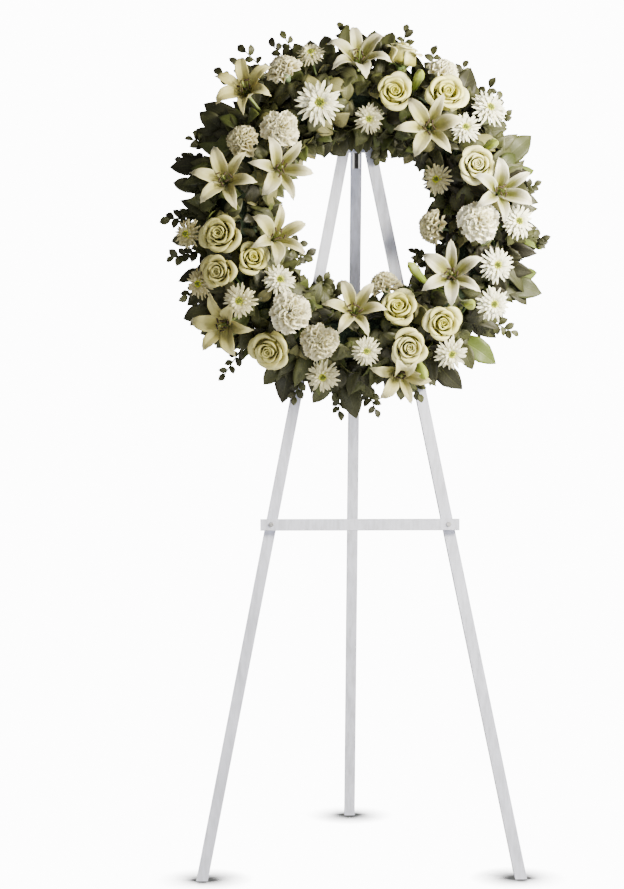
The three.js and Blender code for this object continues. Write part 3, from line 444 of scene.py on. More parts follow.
def shell_faces(rows, columns):
    """The faces of a closed shell whose upper and lower grids follow each other."""
    top = np.arange(rows * columns).reshape(rows, columns)
    low = top + rows * columns
    faces = [
        np.stack([top[:-1, :-1], top[:-1, 1:], top[1:, 1:], top[1:, :-1]], -1).reshape(-1, 4),
        np.stack([low[:-1, :-1], low[1:, :-1], low[1:, 1:], low[:-1, 1:]], -1).reshape(-1, 4),
    ]
    rim = np.concatenate([top[0], top[1:, -1], top[-1, -2::-1], top[-2:0:-1, 0]])
    after = np.roll(rim, -1)
    shift = rows * columns
    faces.append(np.stack([after, rim, rim + shift, after + shift], -1))
    return np.concatenate(faces)


# Shell faces that are worked out once for each size of grid
FACES = {}
# A direction that no stem runs along
OFF_EVERY_STEM = np.array([0.31, 0.87, 0.38])


class Sheaf:
    """The points, faces and per-point marks of one piece, gathered part by part."""

    def __init__(self):
        self.points = []
        self.faces = []
        self.paints = []
        self.marks = []
        self.tints = []
        self.count = 0

    def add(self, points, faces, paint, marks, tint, place=None):
        """Points in millimetres in the frame that place turns into the ring's own."""
        points = np.asarray(points, float)
        if place is not None:
            points = moved(points, place)
        self.points.append(points)
        self.faces.append((np.asarray(faces, int) + self.count, paint))
        self.marks.append(np.broadcast_to(np.asarray(marks, float), (len(points), 3)))
        self.tints.append(np.broadcast_to(np.asarray(tint, float), (len(points), 3)))
        self.count += len(points)

    def add_shell(self, grid, thick, paint, chance, tint, place=None):
        """A thin petal or leaf over a grid of points: rows from root to tip, columns across."""
        rows, columns = grid.shape[:2]
        down = np.gradient(grid, axis=0)
        across = np.gradient(grid, axis=1)
        normal = np.cross(across, down)
        normal /= np.linalg.norm(normal, axis=2, keepdims=True) + 1e-9
        u = np.linspace(0, 1, rows)[:, None] * np.ones((1, columns))
        v = np.ones((rows, 1)) * np.linspace(-1, 1, columns)[None, :]
        half = 0.5 * thick * (1 - 0.6 * np.abs(v) ** 3)[:, :, None]
        upper = (grid + normal * half).reshape(-1, 3)
        lower = (grid - normal * half).reshape(-1, 3)
        marks = np.stack([u.ravel(), v.ravel(), np.full(rows * columns, chance)], 1)
        if (rows, columns) not in FACES:
            FACES[rows, columns] = shell_faces(rows, columns)
        self.add(
            np.concatenate([upper, lower]),
            FACES[rows, columns],
            paint,
            np.concatenate([marks, marks]),
            tint,
            place,
        )

    def add_tube(self, path, radii, paint, tint, place=None, sides=6, chance=0.5):
        """A round stem along a path, closed at both ends."""
        path = np.asarray(path, float)
        radii = np.broadcast_to(np.asarray(radii, float), (len(path),))
        tangent = headings(path)
        first = np.cross(tangent, OFF_EVERY_STEM)
        first /= np.linalg.norm(first, axis=1, keepdims=True)
        second = np.cross(tangent, first)
        turns = np.linspace(0, 2 * math.pi, sides, endpoint=False)
        ring = (
            first[:, None] * np.cos(turns)[None, :, None]
            + second[:, None] * np.sin(turns)[None, :, None]
        )
        points = (path[:, None] + ring * radii[:, None, None]).reshape(-1, 3)
        row = np.arange(sides)
        ahead = np.roll(row, -1)
        faces = []
        for k in range(len(path) - 1):
            low, high = k * sides, (k + 1) * sides
            faces += [[low + a, low + b, high + b, high + a] for a, b in zip(row, ahead)]
        count = len(points)
        points = np.vstack([points, path[0], path[-1]])
        last = (len(path) - 1) * sides
        faces += [[count, b, a, a] for a, b in zip(row, ahead)]
        faces += [[count + 1, last + a, last + b, last + b] for a, b in zip(row, ahead)]
        share = np.repeat(np.linspace(0, 1, len(path)), sides)
        u = np.concatenate([share, [0, 1]])
        marks = np.stack([u, np.zeros_like(u), np.full_like(u, chance)], 1)
        self.add(points, faces, paint, marks, tint, place)

    def piece(self, name, paints, slot, nodes=()):
        """The finished object in the easel's frame, riding on the front body."""
        points = moved(np.concatenate(self.points), WREATH)
        faces, slots = [], []
        for block, paint in self.faces:
            for face in block.tolist():
                faces.append(face[:3] if face[2] == face[3] else face)
            slots += [paint] * len(block)
        mesh = bpy.data.meshes.new(name)
        mesh.from_pydata(points.tolist(), [], faces)
        for paint in paints:
            mesh.materials.append(paint)
        mesh.polygons.foreach_set("material_index", slots)
        mesh.polygons.foreach_set("use_smooth", [True] * len(faces))
        for label, rows in (("petal", self.marks), ("bloom", self.tints)):
            layer = mesh.attributes.new(label, "FLOAT_VECTOR", "POINT")
            layer.data.foreach_set("vector", np.concatenate(rows).astype(np.float32).ravel())
        mesh.update()
        thing = bpy.data.objects.new(name, mesh)
        bpy.context.scene.collection.objects.link(thing)
        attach(thing, "front")
        if nodes:
            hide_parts(*nodes)


# ---------------------------------------------------------------- finishes


class Finish:
    """One procedural material, built node by node on a single shader."""

    def __init__(self, name, **sockets):
        self.material = bpy.data.materials.new(name)
        self.material.use_nodes = True
        self.tree = self.material.node_tree
        self.shader = self.tree.nodes["Principled BSDF"]
        for key, value in sockets.items():
            self.shader.inputs[key.replace("_", " ")].default_value = value

    def node(self, kind, inputs=(), **settings):
        node = self.tree.nodes.new("ShaderNode" + kind)
        for key, value in settings.items():
            setattr(node, key, value)
        for key, value in dict(inputs).items():
            self.feed(node.inputs[key], value)
        return node

    def feed(self, socket, value):
        if isinstance(value, bpy.types.NodeSocket):
            self.tree.links.new(value, socket)
        else:
            socket.default_value = value

    def math(self, operation, a, b=0.0):
        node = self.node("Math", operation=operation)
        self.feed(node.inputs[0], a)
        self.feed(node.inputs[1], b)
        return node.outputs[0]

    def marks(self, label):
        """The three numbers that each point of a piece carries under this label."""
        source = self.node("Attribute", attribute_name=label)
        return self.node("SeparateXYZ", {"Vector": source.outputs["Vector"]}).outputs

    def stops(self, factor, *stops):
        node = self.node("ValToRGB", {"Fac": factor})
        ramp = node.color_ramp
        while len(ramp.elements) < len(stops):
            ramp.elements.new(0.5)
        for element, (place, colour) in zip(ramp.elements, stops):
            element.position = place
            colour = (colour,) * 3 if isinstance(colour, (int, float)) else colour
            element.color = (*colour[:3], 1)
        return node.outputs["Color"]

    def mix(self, factor, a, b):
        node = self.node("Mix", data_type="RGBA")
        self.feed(node.inputs["Factor"], factor)
        for socket, value in ((node.inputs[6], a), (node.inputs[7], b)):
            if not isinstance(value, bpy.types.NodeSocket):
                value = (*value[:3], 1)
            self.feed(socket, value)
        return node.outputs[2]

    def noise(self, vector, scale, detail=3.0, roughness=0.55):
        inputs = {"Vector": vector, "Scale": scale, "Detail": detail, "Roughness": roughness}
        return self.node("TexNoise", inputs).outputs["Fac"]

    def space(self):
        return self.node("TexCoord").outputs["Object"]

    def vector(self, x, y, z):
        node = self.node("CombineXYZ")
        for socket, value in zip(node.inputs, (x, y, z)):
            self.feed(socket, value)
        return node.outputs[0]

    def colour(self, value):
        self.feed(self.shader.inputs["Base Color"], value)

    def rough(self, value):
        self.feed(self.shader.inputs["Roughness"], value)

    def bump(self, height, strength, distance):
        node = self.node("Bump", {"Height": height, "Strength": strength, "Distance": distance})
        self.feed(self.shader.inputs["Normal"], node.outputs["Normal"])


# Colours that the finishes share: the grey of painted shade streaked down lily tepals, what a tan
# carnation or chrysanthemum, or one in painted shade, turns to, and the three tints of a leaf:
# painted shadow, fresh green and tan
STREAK_SHADE = (0.36, 0.33, 0.27)
WARM_WHITE = (0.44, 0.39, 0.17)
LEAF_SHADOW = (0.014, 0.013, 0.007)
LEAF_FRESH = (0.10, 0.15, 0.014)
LEAF_TAN = (0.26, 0.24, 0.10)


def times(colour, factor, most=1.0):
    return tuple(min(most, channel * factor) for channel in colour)


def petal_finish(name, white, heart, depth, rib, grain, warm, sheen=0.15, hard=0.5):
    """Petals: white at the rim, a coloured heart, a rib down the middle and fine long veins.

    The heart's colour reaches to depth of the petal's length, grain is how many veins lie side
    by side, and warm is the colour that a tan petal, a petal in painted shade and its blotches
    turn to. Each petal is darkened at its root as painted shade, and lily tepals and buds carry
    grey streaks of painted shade down their middles.
    """
    look = Finish(
        name,
        Roughness=hard,
        Subsurface_Weight=0.12,
        Subsurface_Radius=(0.005, 0.004, 0.002),
        Subsurface_Scale=0.5,
        Sheen_Weight=sheen,
    )
    u, v, chance = look.marks("petal")
    tan_and_shade, yellow, _ = look.marks("bloom")
    off_rib = look.math("ABSOLUTE", v)
    heart_share = look.stops(u, (0.0, 1.0), (depth * 0.6, 0.95), (depth, 0.0))
    heart_share = look.math("MULTIPLY", heart_share, look.stops(off_rib, (0.45, 1.0), (1.0, 0.4)))
    glow = times(heart, 2.3, 0.9)
    colour = look.mix(heart_share, look.mix(yellow, white, glow), heart)
    # Painted shade: each petal is darkened near its root, deep in the throat or heart where shade
    # falls
    root_shade_share = look.stops(u, (0.0, 0.85), (depth * 0.28, 0.0))
    colour = look.mix(root_shade_share, colour, times(heart, 0.13))
    rib_share = look.math(
        "MULTIPLY",
        look.stops(off_rib, (0.0, 1.0), (0.12, 0.6), (0.34, 0.0)),
        look.stops(u, (0.0, 1.0), (0.6, 0.6), (0.92, 0.0)),
    )
    colour = look.mix(look.math("MULTIPLY", rib_share, rib), colour, heart)
    along = look.vector(look.math("MULTIPLY", u, 2.0), look.math("MULTIPLY", v, grain), chance)
    veins = look.noise(along, 3.0, 4.0, 0.6)
    vein_share = look.stops(veins, (0.35, 0.0), (0.62, 0.26))
    colour = look.mix(vein_share, colour, heart)
    # Painted shade: grey streaks down the middles of lily tepals and buds stand for the shade of
    # the cupped middle
    shade_streak = look.stops(look.noise(along, 1.2, 3.0, 0.6), (0.38, 0.0), (0.62, 0.75))
    shade_streak = look.math("MULTIPLY", shade_streak, look.stops(off_rib, (0.45, 1.0), (0.9, 0.0)))
    shade_streak = look.math("MULTIPLY", shade_streak, look.stops(u, (0.45, 0.0), (0.7, 1.0)))
    colour = look.mix(look.math("MULTIPLY", shade_streak, rib), colour, STREAK_SHADE)
    blotch = look.noise(look.space(), 55.0, 3.0)
    colour = look.mix(look.stops(blotch, (0.45, 0.0), (0.75, 0.3)), colour, warm)
    # Turns the petal towards warm by the head's number from white to tan: its own tan, and painted
    # shade for heads away from the light
    dull = look.math("MULTIPLY", tan_and_shade, look.stops(u, (0.0, 1.0), (0.75, 0.9), (1.0, 0.7)))
    colour = look.mix(dull, colour, warm)
    look.colour(colour)
    look.rough(look.stops(blotch, (0.2, hard - 0.08), (0.8, hard + 0.12)))
    look.bump(veins, 0.35, 0.0006)
    return look.material


def plain_green(name, dark, light, roughness=0.5):
    """Stems, stamens and florets: two shades in patches, lighter towards the tip."""
    look = Finish(name, Roughness=roughness)
    u, _, _ = look.marks("petal")
    patches = look.noise(look.space(), 120.0, 4.0)
    colour = look.mix(look.stops(patches, (0.3, 0.0), (0.7, 1.0)), dark, light)
    colour = look.mix(look.math("MULTIPLY", u, 0.4), colour, light)
    look.colour(colour)
    look.bump(look.noise(look.space(), 900.0, 2.0), 0.2, 0.0004)
    return look.material


def leaf_finish(name, dark, light, roughness):
    """Leaves: a pale midrib, side veins, patches, and for each leaf its own share of painted
    shadow, fresh green and tan.
    """
    look = Finish(name, Roughness=roughness, Specular_IOR_Level=0.3)
    u, v, chance = look.marks("petal")
    tint = look.marks("bloom")
    off_rib = look.math("ABSOLUTE", v)
    side = look.math("SUBTRACT", look.math("MULTIPLY", u, 9.0), look.math("MULTIPLY", off_rib, 2.4))
    wave = look.math("ABSOLUTE", look.math("SUBTRACT", look.math("FRACT", side), 0.5))
    vein = look.stops(wave, (0.0, 1.0), (0.10, 0.0))
    rib = look.stops(off_rib, (0.0, 1.0), (0.09, 0.0))
    both = look.math("MAXIMUM", look.math("MULTIPLY", vein, 0.35), rib)
    patches = look.noise(look.space(), 70.0, 4.0)
    base = look.mix(chance, dark, light)
    base = look.mix(look.stops(patches, (0.3, 0.0), (0.8, 0.6)), base, dark)
    base = look.mix(look.math("MULTIPLY", both, 0.45), base, light)
    for share, shade in zip(tint, (LEAF_SHADOW, LEAF_FRESH, LEAF_TAN)):
        base = look.mix(share, base, shade)
    look.colour(base)
    look.rough(look.stops(patches, (0.2, roughness - 0.1), (0.8, roughness + 0.15)))
    look.bump(look.math("SUBTRACT", patches, both), 0.5, 0.0005)
    return look.material


# ---------------------------------------------------------------- sizes and colours to change


class EaselLook(bpy.types.PropertyGroup):
    """Paint and metal of the easel"""

    # The easel's white paint, set darker and bluer than white: it carries the sticks' cool shade as
    # painted shade
    paint: FloatVectorProperty(
        name="Paint", description="Colour of the easel's paint", subtype="COLOR", size=3,
        default=(0.60, 0.625, 0.78), min=0, max=1,
    )
    steel: FloatVectorProperty(
        name="Steel", description="Colour of the hinge and screws", subtype="COLOR", size=3,
        default=(0.024, 0.022, 0.021), min=0, max=1,
    )
    # Pale steel on the hinge's edges is a painted highlight; the screws take it as their own colour
    highlight_and_screws: FloatVectorProperty(
        name="Screws and highlight", description="Colour of the screws and the hinge's edges",
        subtype="COLOR", size=3, default=(0.62, 0.61, 0.6), min=0, max=1,
    )
    edge: FloatProperty(
        name="Edge rounding", description="Radius of the sticks' worn edges", default=0.0012,
        min=0.0, max=0.004, unit="LENGTH",
    )


class RingLook(bpy.types.PropertyGroup):
    """Foam and tray under the flowers"""

    # Soaked foam's own dark green, set darker still to stand for the shade in the gaps between the
    # flowers: painted shade
    foam: FloatVectorProperty(
        name="Foam", description="Colour of the soaked foam", subtype="COLOR", size=3,
        default=(0.012, 0.022, 0.010), min=0, max=1,
    )
    tray: FloatVectorProperty(
        name="Tray", description="Colour of the plastic tray", subtype="COLOR", size=3,
        default=(0.012, 0.020, 0.012), min=0, max=1,
    )


class LilyLook(bpy.types.PropertyGroup):
    """Open lilies and their buds"""

    white: FloatVectorProperty(
        name="Tepal", description="Colour of a tepal's outer half", subtype="COLOR", size=3,
        default=(0.90, 0.87, 0.75), min=0, max=1,
    )
    heart: FloatVectorProperty(
        name="Throat", description="Colour of the throat and the rib", subtype="COLOR", size=3,
        default=(0.17, 0.175, 0.007), min=0, max=1,
    )
    breadth: FloatProperty(
        name="Breadth", description="Half width of an inner tepal on a lily 112 mm across",
        default=0.0117, min=0.008, max=0.02, unit="LENGTH",
    )
    thick: FloatProperty(
        name="Thickness", description="Thickness of a tepal", default=0.0009, min=0.0003,
        max=0.002, unit="LENGTH",
    )


class RoseLook(bpy.types.PropertyGroup):
    """Roses"""

    white: FloatVectorProperty(
        name="Rim", description="Colour of the outer petals", subtype="COLOR", size=3,
        default=(0.92, 0.89, 0.52), min=0, max=1,
    )
    heart: FloatVectorProperty(
        name="Heart", description="Colour deep between the petals", subtype="COLOR", size=3,
        default=(0.28, 0.265, 0.012), min=0, max=1,
    )
    roll: FloatProperty(
        name="Rolled rim", description="How far an outer petal's rim rolls out", default=0.004,
        min=0.0, max=0.01, unit="LENGTH",
    )


class CarnationLook(bpy.types.PropertyGroup):
    """Carnations"""

    white: FloatVectorProperty(
        name="Rim", description="Colour of the frilled rims", subtype="COLOR", size=3,
        default=(0.95, 0.92, 0.79), min=0, max=1,
    )
    heart: FloatVectorProperty(
        name="Depth", description="Colour deep between the frills", subtype="COLOR", size=3,
        default=(0.60, 0.54, 0.24), min=0, max=1,
    )
    frill: FloatProperty(
        name="Frill", description="Height of the frill's waves", default=0.0038, min=0.0,
        max=0.008, unit="LENGTH",
    )


class MumLook(bpy.types.PropertyGroup):
    """Chrysanthemum sprays"""

    white: FloatVectorProperty(
        name="Ray", description="Colour of the rays", subtype="COLOR", size=3,
        default=(0.94, 0.93, 0.82), min=0, max=1,
    )
    ring: FloatVectorProperty(
        name="Ring", description="Colour of the yellow-green florets", subtype="COLOR", size=3,
        default=(0.46, 0.48, 0.04), min=0, max=1,
    )
    eye: FloatVectorProperty(
        name="Eye", description="Colour of the dark eye", subtype="COLOR", size=3,
        default=(0.09, 0.11, 0.012), min=0, max=1,
    )


class LeafLook(bpy.types.PropertyGroup):
    """Leaves round the rims and between the flowers"""

    dark: FloatVectorProperty(
        name="Dark leaf", description="Colour of the darkest leaves", subtype="COLOR", size=3,
        default=(0.026, 0.028, 0.011), min=0, max=1,
    )
    light: FloatVectorProperty(
        name="Light leaf", description="Colour of the lightest leaves", subtype="COLOR", size=3,
        default=(0.105, 0.118, 0.036), min=0, max=1,
    )
    between: IntProperty(
        name="Leaves between", description="How many leaves fill the gaps between flowers",
        default=700, min=0, max=1200,
    )
    rim: IntProperty(
        name="Leaves at the rim", description="How many leaves fill the outer rim",
        default=430, min=0, max=900,
    )


class StudioLook(bpy.types.PropertyGroup):
    """Floor, lights and camera"""

    floor: FloatVectorProperty(
        name="Floor", description="Colour of the floor", subtype="COLOR", size=3,
        default=(0.93, 0.93, 0.93), min=0, max=1,
    )
    key: FloatProperty(
        name="Key light", description="Power of the light from the right", default=98.0,
        min=0.0, max=2000.0, unit="POWER",
    )
    fill: FloatProperty(
        name="Fill light", description="Power of the light from the left", default=7.0,
        min=0.0, max=2000.0, unit="POWER",
    )
    legs: FloatProperty(
        name="Leg light", description="Power of the low light on the easel's legs", default=20.0,
        min=0.0, max=2000.0, unit="POWER",
    )
    rear: FloatProperty(
        name="Rear light", description="Power of the soft light behind the easel", default=55.0,
        min=0.0, max=2000.0, unit="POWER",
    )
    sky: FloatProperty(
        name="Room light", description="Strength of the even light of the room", default=0.24,
        min=0.0, max=10.0,
    )
    back: FloatProperty(
        name="Backdrop", description="Strength of the white that the camera sees behind",
        default=13.0, min=0.0, max=20.0,
    )


# ---------------------------------------------------------------- flowers


# A tepal's root and tip, out and up from the lily's base, how much higher an inner tepal
# arches, and how far a CAD tip may be from where it is looked for
TEPAL_ROOT = (4.0, 5.0)
TEPAL_TIP = (56, 42)
INNER_RISE = 1.5
TIP_MISS = 1.5
TEPAL_WIDTH = [(0, 0.2), (0.18, 0.42), (0.36, 0.80), (0.54, 1.0), (0.70, 0.90), (0.87, 0.48)]
TEPAL_WIDTH += [(1, 0.02)]
TEPAL_CUP = [(0, 0.8), (0.3, 0.62), (0.6, 0.34), (0.85, 0.12), (1, 0.1)]
TEPAL_GROOVE = [(0, 0.4), (0.5, 1), (1, 0)]
BUD_WIDTH = [(0, 0.28), (0.12, 0.52), (0.4, 0.78), (0.68, 1.0), (0.86, 0.8), (0.96, 0.38)]
BUD_WIDTH += [(1, 0.05)]


def tepal_clock(index):
    return math.radians(60 * index + 30)


def lily_lifts(head, node):
    """How far each tepal is bent up, measured on the CAD lily's own tepal tips."""
    points = np.array([vertex.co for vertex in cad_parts[node].data.vertices])
    own = moved(moved(points, np.linalg.inv(WREATH)), np.linalg.inv(head["frame"]))
    size = head["across"] / LILY_ACROSS
    lifts = []
    for index in range(6):
        middle = tepal_clock(index)
        rise = INNER_RISE if index % 2 == 0 else 0.0
        root, tip = (
            np.array([out * size, LILY_BASE + up * size]) for out, up in (TEPAL_ROOT, TEPAL_TIP)
        )
        run = np.linalg.norm(tip - root)
        out = own[:, 0] * math.cos(middle) + own[:, 1] * math.sin(middle)
        aside = np.abs(own[:, 1] * math.cos(middle) - own[:, 0] * math.sin(middle))
        miss = np.abs(np.hypot(out - root[0], own[:, 2] - root[1]) - run) + 4 * aside
        best = int(np.argmin(miss))
        if miss[best] > TIP_MISS:
            raise RuntimeError(f"{node} has no tip for tepal {index}: {miss[best]:.2f} mm off")
        found = math.atan2(own[best, 2] - root[1], out[best] - root[0])
        lifts.append((found - math.atan2(tip[1] - root[1], tip[0] - root[0]), rise))
    return lifts


def tepal_path(lift, rise):
    """A tepal's middle line, out and up, turned about its root by its lift."""
    root = np.array(TEPAL_ROOT)
    bent = []
    for out, up in [(2.5, -2), TEPAL_ROOT, (25, 35 + rise), (43, 44 + rise), TEPAL_TIP]:
        away = np.array([out, up]) - root
        angle = math.atan2(away[1], away[0]) + lift * min(1.0, max(0.0, out / 12))
        bent.append(root + np.hypot(*away) * np.array([math.cos(angle), math.sin(angle)]))
    return np.array(bent)


def add_tepal(sheaf, head, index, lift, rise, look, random):
    """A pointed tepal, cupped at its root, grooved down its middle and curled at its tip."""
    size = head["across"] / LILY_ACROSS
    inner = index % 2 == 0
    rows, columns = 20, 11
    line = through(tepal_path(lift, rise) * size, rows)
    line[:, 1] += LILY_BASE
    middle = tepal_clock(index) + random.uniform(-0.05, 0.05)
    centre = np.stack([line[:, 0] * math.cos(middle), line[:, 0] * math.sin(middle), line[:, 1]], 1)
    along = aside_of(middle)
    face = np.cross(headings(centre), along)[:, None]
    u = np.linspace(0, 1, rows)
    v = np.linspace(-1, 1, columns)
    half = look.breadth * 1000 * size * (1.0 if inner else 0.8) * random.uniform(0.84, 1.14)
    width = half * along_stops(u, TEPAL_WIDTH)
    cup = along_stops(u, TEPAL_CUP)
    wave = np.sin(2 * math.pi * (u * 2.1 + random.random()))[:, None] * np.sign(v)[None, :]
    lift_edge = cup[:, None] * width[:, None] * v[None, :] ** 2
    lift_edge = lift_edge + 0.09 * width[:, None] * wave * np.abs(v)[None, :] ** 3
    groove = -1.5 * np.exp(-((v[None, :] / 0.16) ** 2)) * along_stops(u, TEPAL_GROOVE)[:, None]
    curl = -8.5 * size * smooth((u - 0.66) / 0.34) ** 2
    twist = random.uniform(-0.35, 0.35)
    grid = blade(centre, along, face, width, v, lift_edge + groove + curl[:, None])
    grid = grid + face * (width[:, None] * v[None, :] * twist * u[:, None])[:, :, None]
    thick = look.thick * 1000
    sheaf.add_shell(grid, thick, PETAL, random.random(), (head["tan_and_shade"], 0, 0), head["frame"])


def add_stamens(sheaf, head, random):
    """Six stamens with dark anthers, and the style with its round stigma."""
    size = head["across"] / LILY_ACROSS
    place = head["frame"]
    for k in range(6):
        angle = math.radians(60 * k + 60) + random.uniform(-0.15, 0.15)
        reach = random.uniform(4, 12) * size
        top = LILY_BASE + random.uniform(31, 35) * size
        out = on_disc(1, angle)
        path = through(
            [
                out * 1.6 + [0, 0, LILY_BASE + 4],
                out * 4.5 * size + [0, 0, LILY_BASE + 16 * size],
                out * 0.8 * reach + [0, 0, LILY_BASE + 27 * size],
                out * reach + [0, 0, top],
            ],
            8,
        )
        sheaf.add_tube(path, np.linspace(0.95, 0.6, 8), GREEN, PLAIN, place, 5)
        side = aside_of(angle + random.uniform(-1.3, 1.3), 0.25)
        side /= np.linalg.norm(side)
        length = 4.6 * size
        pod = [path[-1] + side * length * s for s in (-1, -0.75, 0, 0.75, 1)]
        sheaf.add_tube(pod, [0.5, 1.3, 1.5, 1.3, 0.5], ANTHER, PLAIN, place)
    tip = np.array([1.5, 1.0, LILY_BASE + 41 * size])
    style = through([[0, 0, LILY_BASE + 4], [0.6, 0.2, LILY_BASE + 24 * size], tip], 7)
    sheaf.add_tube(style, [1.5, 1.4, 1.3, 1.2, 1.2, 1.3, 1.7], GREEN, PLAIN, place)
    knob = [tip + [0, 0, z] for z in (-0.8, 0.4, 1.8, 2.6)]
    sheaf.add_tube(knob, [1.2, 2.6, 2.4, 0.8], STIGMA, PLAIN, place)


def add_bud(sheaf, head, random):
    """A closed lily bud: three shallow ribs, fat in the upper half and bowed a little."""
    half = head["across"] / 2 * 1.12
    rows, columns = 14, 19
    u = np.linspace(0, 1, rows)
    turns = np.linspace(0, 2 * math.pi, columns)
    width = half * along_stops(u, BUD_WIDTH)
    rib = 1 + 0.10 * np.cos(3 * turns)[None, :] * smooth(u * 3)[:, None]
    bow = 2.0 * np.sin(math.pi * u)
    grid = np.stack(
        [
            width[:, None] * rib * np.cos(turns)[None, :] + bow[:, None],
            width[:, None] * rib * np.sin(turns)[None, :],
            (BUD_BASE + 52 * u)[:, None] * np.ones((1, columns)),
        ],
        -1,
    )
    round_it = columns - 1
    faces = []
    for row in range(rows - 1):
        for k in range(round_it):
            a, b = row * round_it + k, row * round_it + (k + 1) % round_it
            faces.append([a, b, b + round_it, a + round_it])
    ring = grid[:, :-1].reshape(-1, 3)
    last = (rows - 1) * round_it
    top = len(ring)
    points = np.vstack([ring, grid[-1, :-1].mean(0) + [0, 0, 1.0], grid[0, :-1].mean(0)])
    for k in range(round_it):
        ahead = (k + 1) % round_it
        faces.append([last + k, last + ahead, top, top])
        faces.append([ahead, k, top + 1, top + 1])
    marks_u = np.concatenate([np.repeat(u, round_it), [1.0, 0.0]])
    marks_v = np.concatenate([np.tile(np.cos(3 * turns[:-1]), rows), [0.0, 0.0]])
    marks = np.stack([marks_u, marks_v, np.full(len(points), random.random())], 1)
    sheaf.add(points, faces, BUD, marks, PLAIN, head["frame"])


def stalk(sheaf, head, top):
    """A stem from inside the foam up to the bloom, a little thicker under the head."""
    radius = 2.2
    top = top + head["rise"]
    path = [[0, 0, STEM_END + (top - STEM_END) * s] for s in np.linspace(0, 1, 5)]
    radii = [radius * 0.95, radius * 0.95, radius, radius, radius * 1.2]
    sheaf.add_tube(path, radii, GREEN, PLAIN, head["stem"], 8)


def branch(sheaf, start, end, top):
    """A side branch over the foam from one bloom's stem to another's seat."""
    points = []
    for share in np.linspace(0, 1, 5):
        clock = start["clock"] + (end["clock"] - start["clock"]) * share
        tilt = start["tilt"] + (end["tilt"] - start["tilt"]) * share
        points.append(moved([[0, 0, BRANCH_HEIGHT]], ring_frame(clock, tilt))[0])
    points.append(moved([[0, 0, top + end["rise"]]], end["stem"])[0])
    sheaf.add_tube(through(points, 16), 1.6, GREEN, PLAIN)


# Turn from one petal to the next
GOLDEN = math.pi * (3 - math.sqrt(5))

ROSE_PETALS = 17
ROSE_SEPALS = 5
# From the heart (0) to the outside (1): a petal's reach as a share of the rose's radius, half
# of how many degrees it spans, and the height of its rim
ROSE_REACH = [(0, 0.05), (0.3, 0.22), (0.55, 0.50), (0.8, 0.80), (1, 0.97)]
ROSE_SPAN = [(0, 150), (0.3, 105), (0.6, 68), (1, 54)]
ROSE_TOP = [(0, 42), (0.2, 46), (0.45, 44.5), (0.75, 40.5), (1, 35)]
SEPAL_PATH = [(2, 4), (9, 8), (17, 9), (22, 5)]
SEPAL_WIDTH = [(0, 0.12), (0.35, 1.0), (0.6, 0.9), (0.85, 0.45), (1, 0.03)]

CARNATION_PETALS = 25
CARNATION_SPAN = [(0, 80), (0.25, 58), (0.6, 42), (1, 36)]
CARNATION_TOP = [(0, 45), (0.3, 43), (0.6, 36.5), (0.85, 28), (1, 21)]

# Rings of rays: reach as a share of the head's radius, count, height of the root and the tip
MUM_RINGS = [(1.0, 19, 3.5, 6.5), (0.90, 18, 5.5, 11), (0.72, 16, 7.5, 15), (0.50, 12, 9.5, 18)]
MUM_FLORETS = 64
RAY_WIDTH = [(0, 0.5), (0.4, 0.85), (0.72, 1.0), (0.92, 0.75), (1, 0.3)]


def at_share(share, stops):
    return float(along_stops(share, stops))


def rose_petal_grid(radius, share, middle, random, roll):
    """A petal round the axis: share 0 is rolled tight in the heart, 1 is open at the outside."""
    rows, columns = 11, 15
    u = np.linspace(0, 1, rows)[:, None]
    v = np.linspace(-1, 1, columns)[None, :]
    rim = radius * at_share(share, ROSE_REACH) * random.uniform(0.95, 1.03)
    half = math.radians(at_share(share, ROSE_SPAN))
    top = ROSE_BASE + at_share(share, ROSE_TOP) + random.uniform(-1.2, 1.2)
    root = ROSE_BASE + 8 + 9 * (1 - share)
    tall = top - root
    neck = 0.90 - 0.24 * share
    line = through(
        [
            (1.5, root),
            (rim * (neck + 0.10), root + 0.22 * tall),
            (rim * (neck + 0.06), root + 0.58 * tall),
            (rim * (neck + 0.04), root + 0.86 * tall),
            (rim * (0.5 + 0.5 * neck), top),
            (rim + 1.0, top + 0.3 * share - 0.25 * roll * share),
            (rim + 0.35 * roll * share + 1.0, top - 0.9 * roll * share),
        ],
        40,
    )
    reach = u * (1 - 0.24 * np.abs(v) ** 2.4 + 0.03 * np.exp(-((v / 0.2) ** 2))) / 1.03
    reach = np.clip(reach, 0, 1)
    steps = np.linspace(0, 1, len(line))
    out = np.interp(reach, steps, line[:, 0])
    up = np.interp(reach, steps, line[:, 1])
    out = out * (1 + (0.04 + 0.10 * (1 - share)) * v)
    wave, phase = random.uniform(2.4, 4.2), random.uniform(0, 6)
    ruffle = (0.3 + 1.3 * share) * reach**4
    up = up + ruffle * np.sin(wave * v + phase)
    out = out + 0.8 * ruffle * np.sin(wave * v + phase + 1.9)
    out = out + 2.2 * share * smooth((np.abs(v) - 0.55) / 0.45) * reach**2
    angle = middle + half * v * (0.42 + 0.58 * np.sqrt(u))
    return np.stack([out * np.cos(angle), out * np.sin(angle), up + 0 * angle], -1)


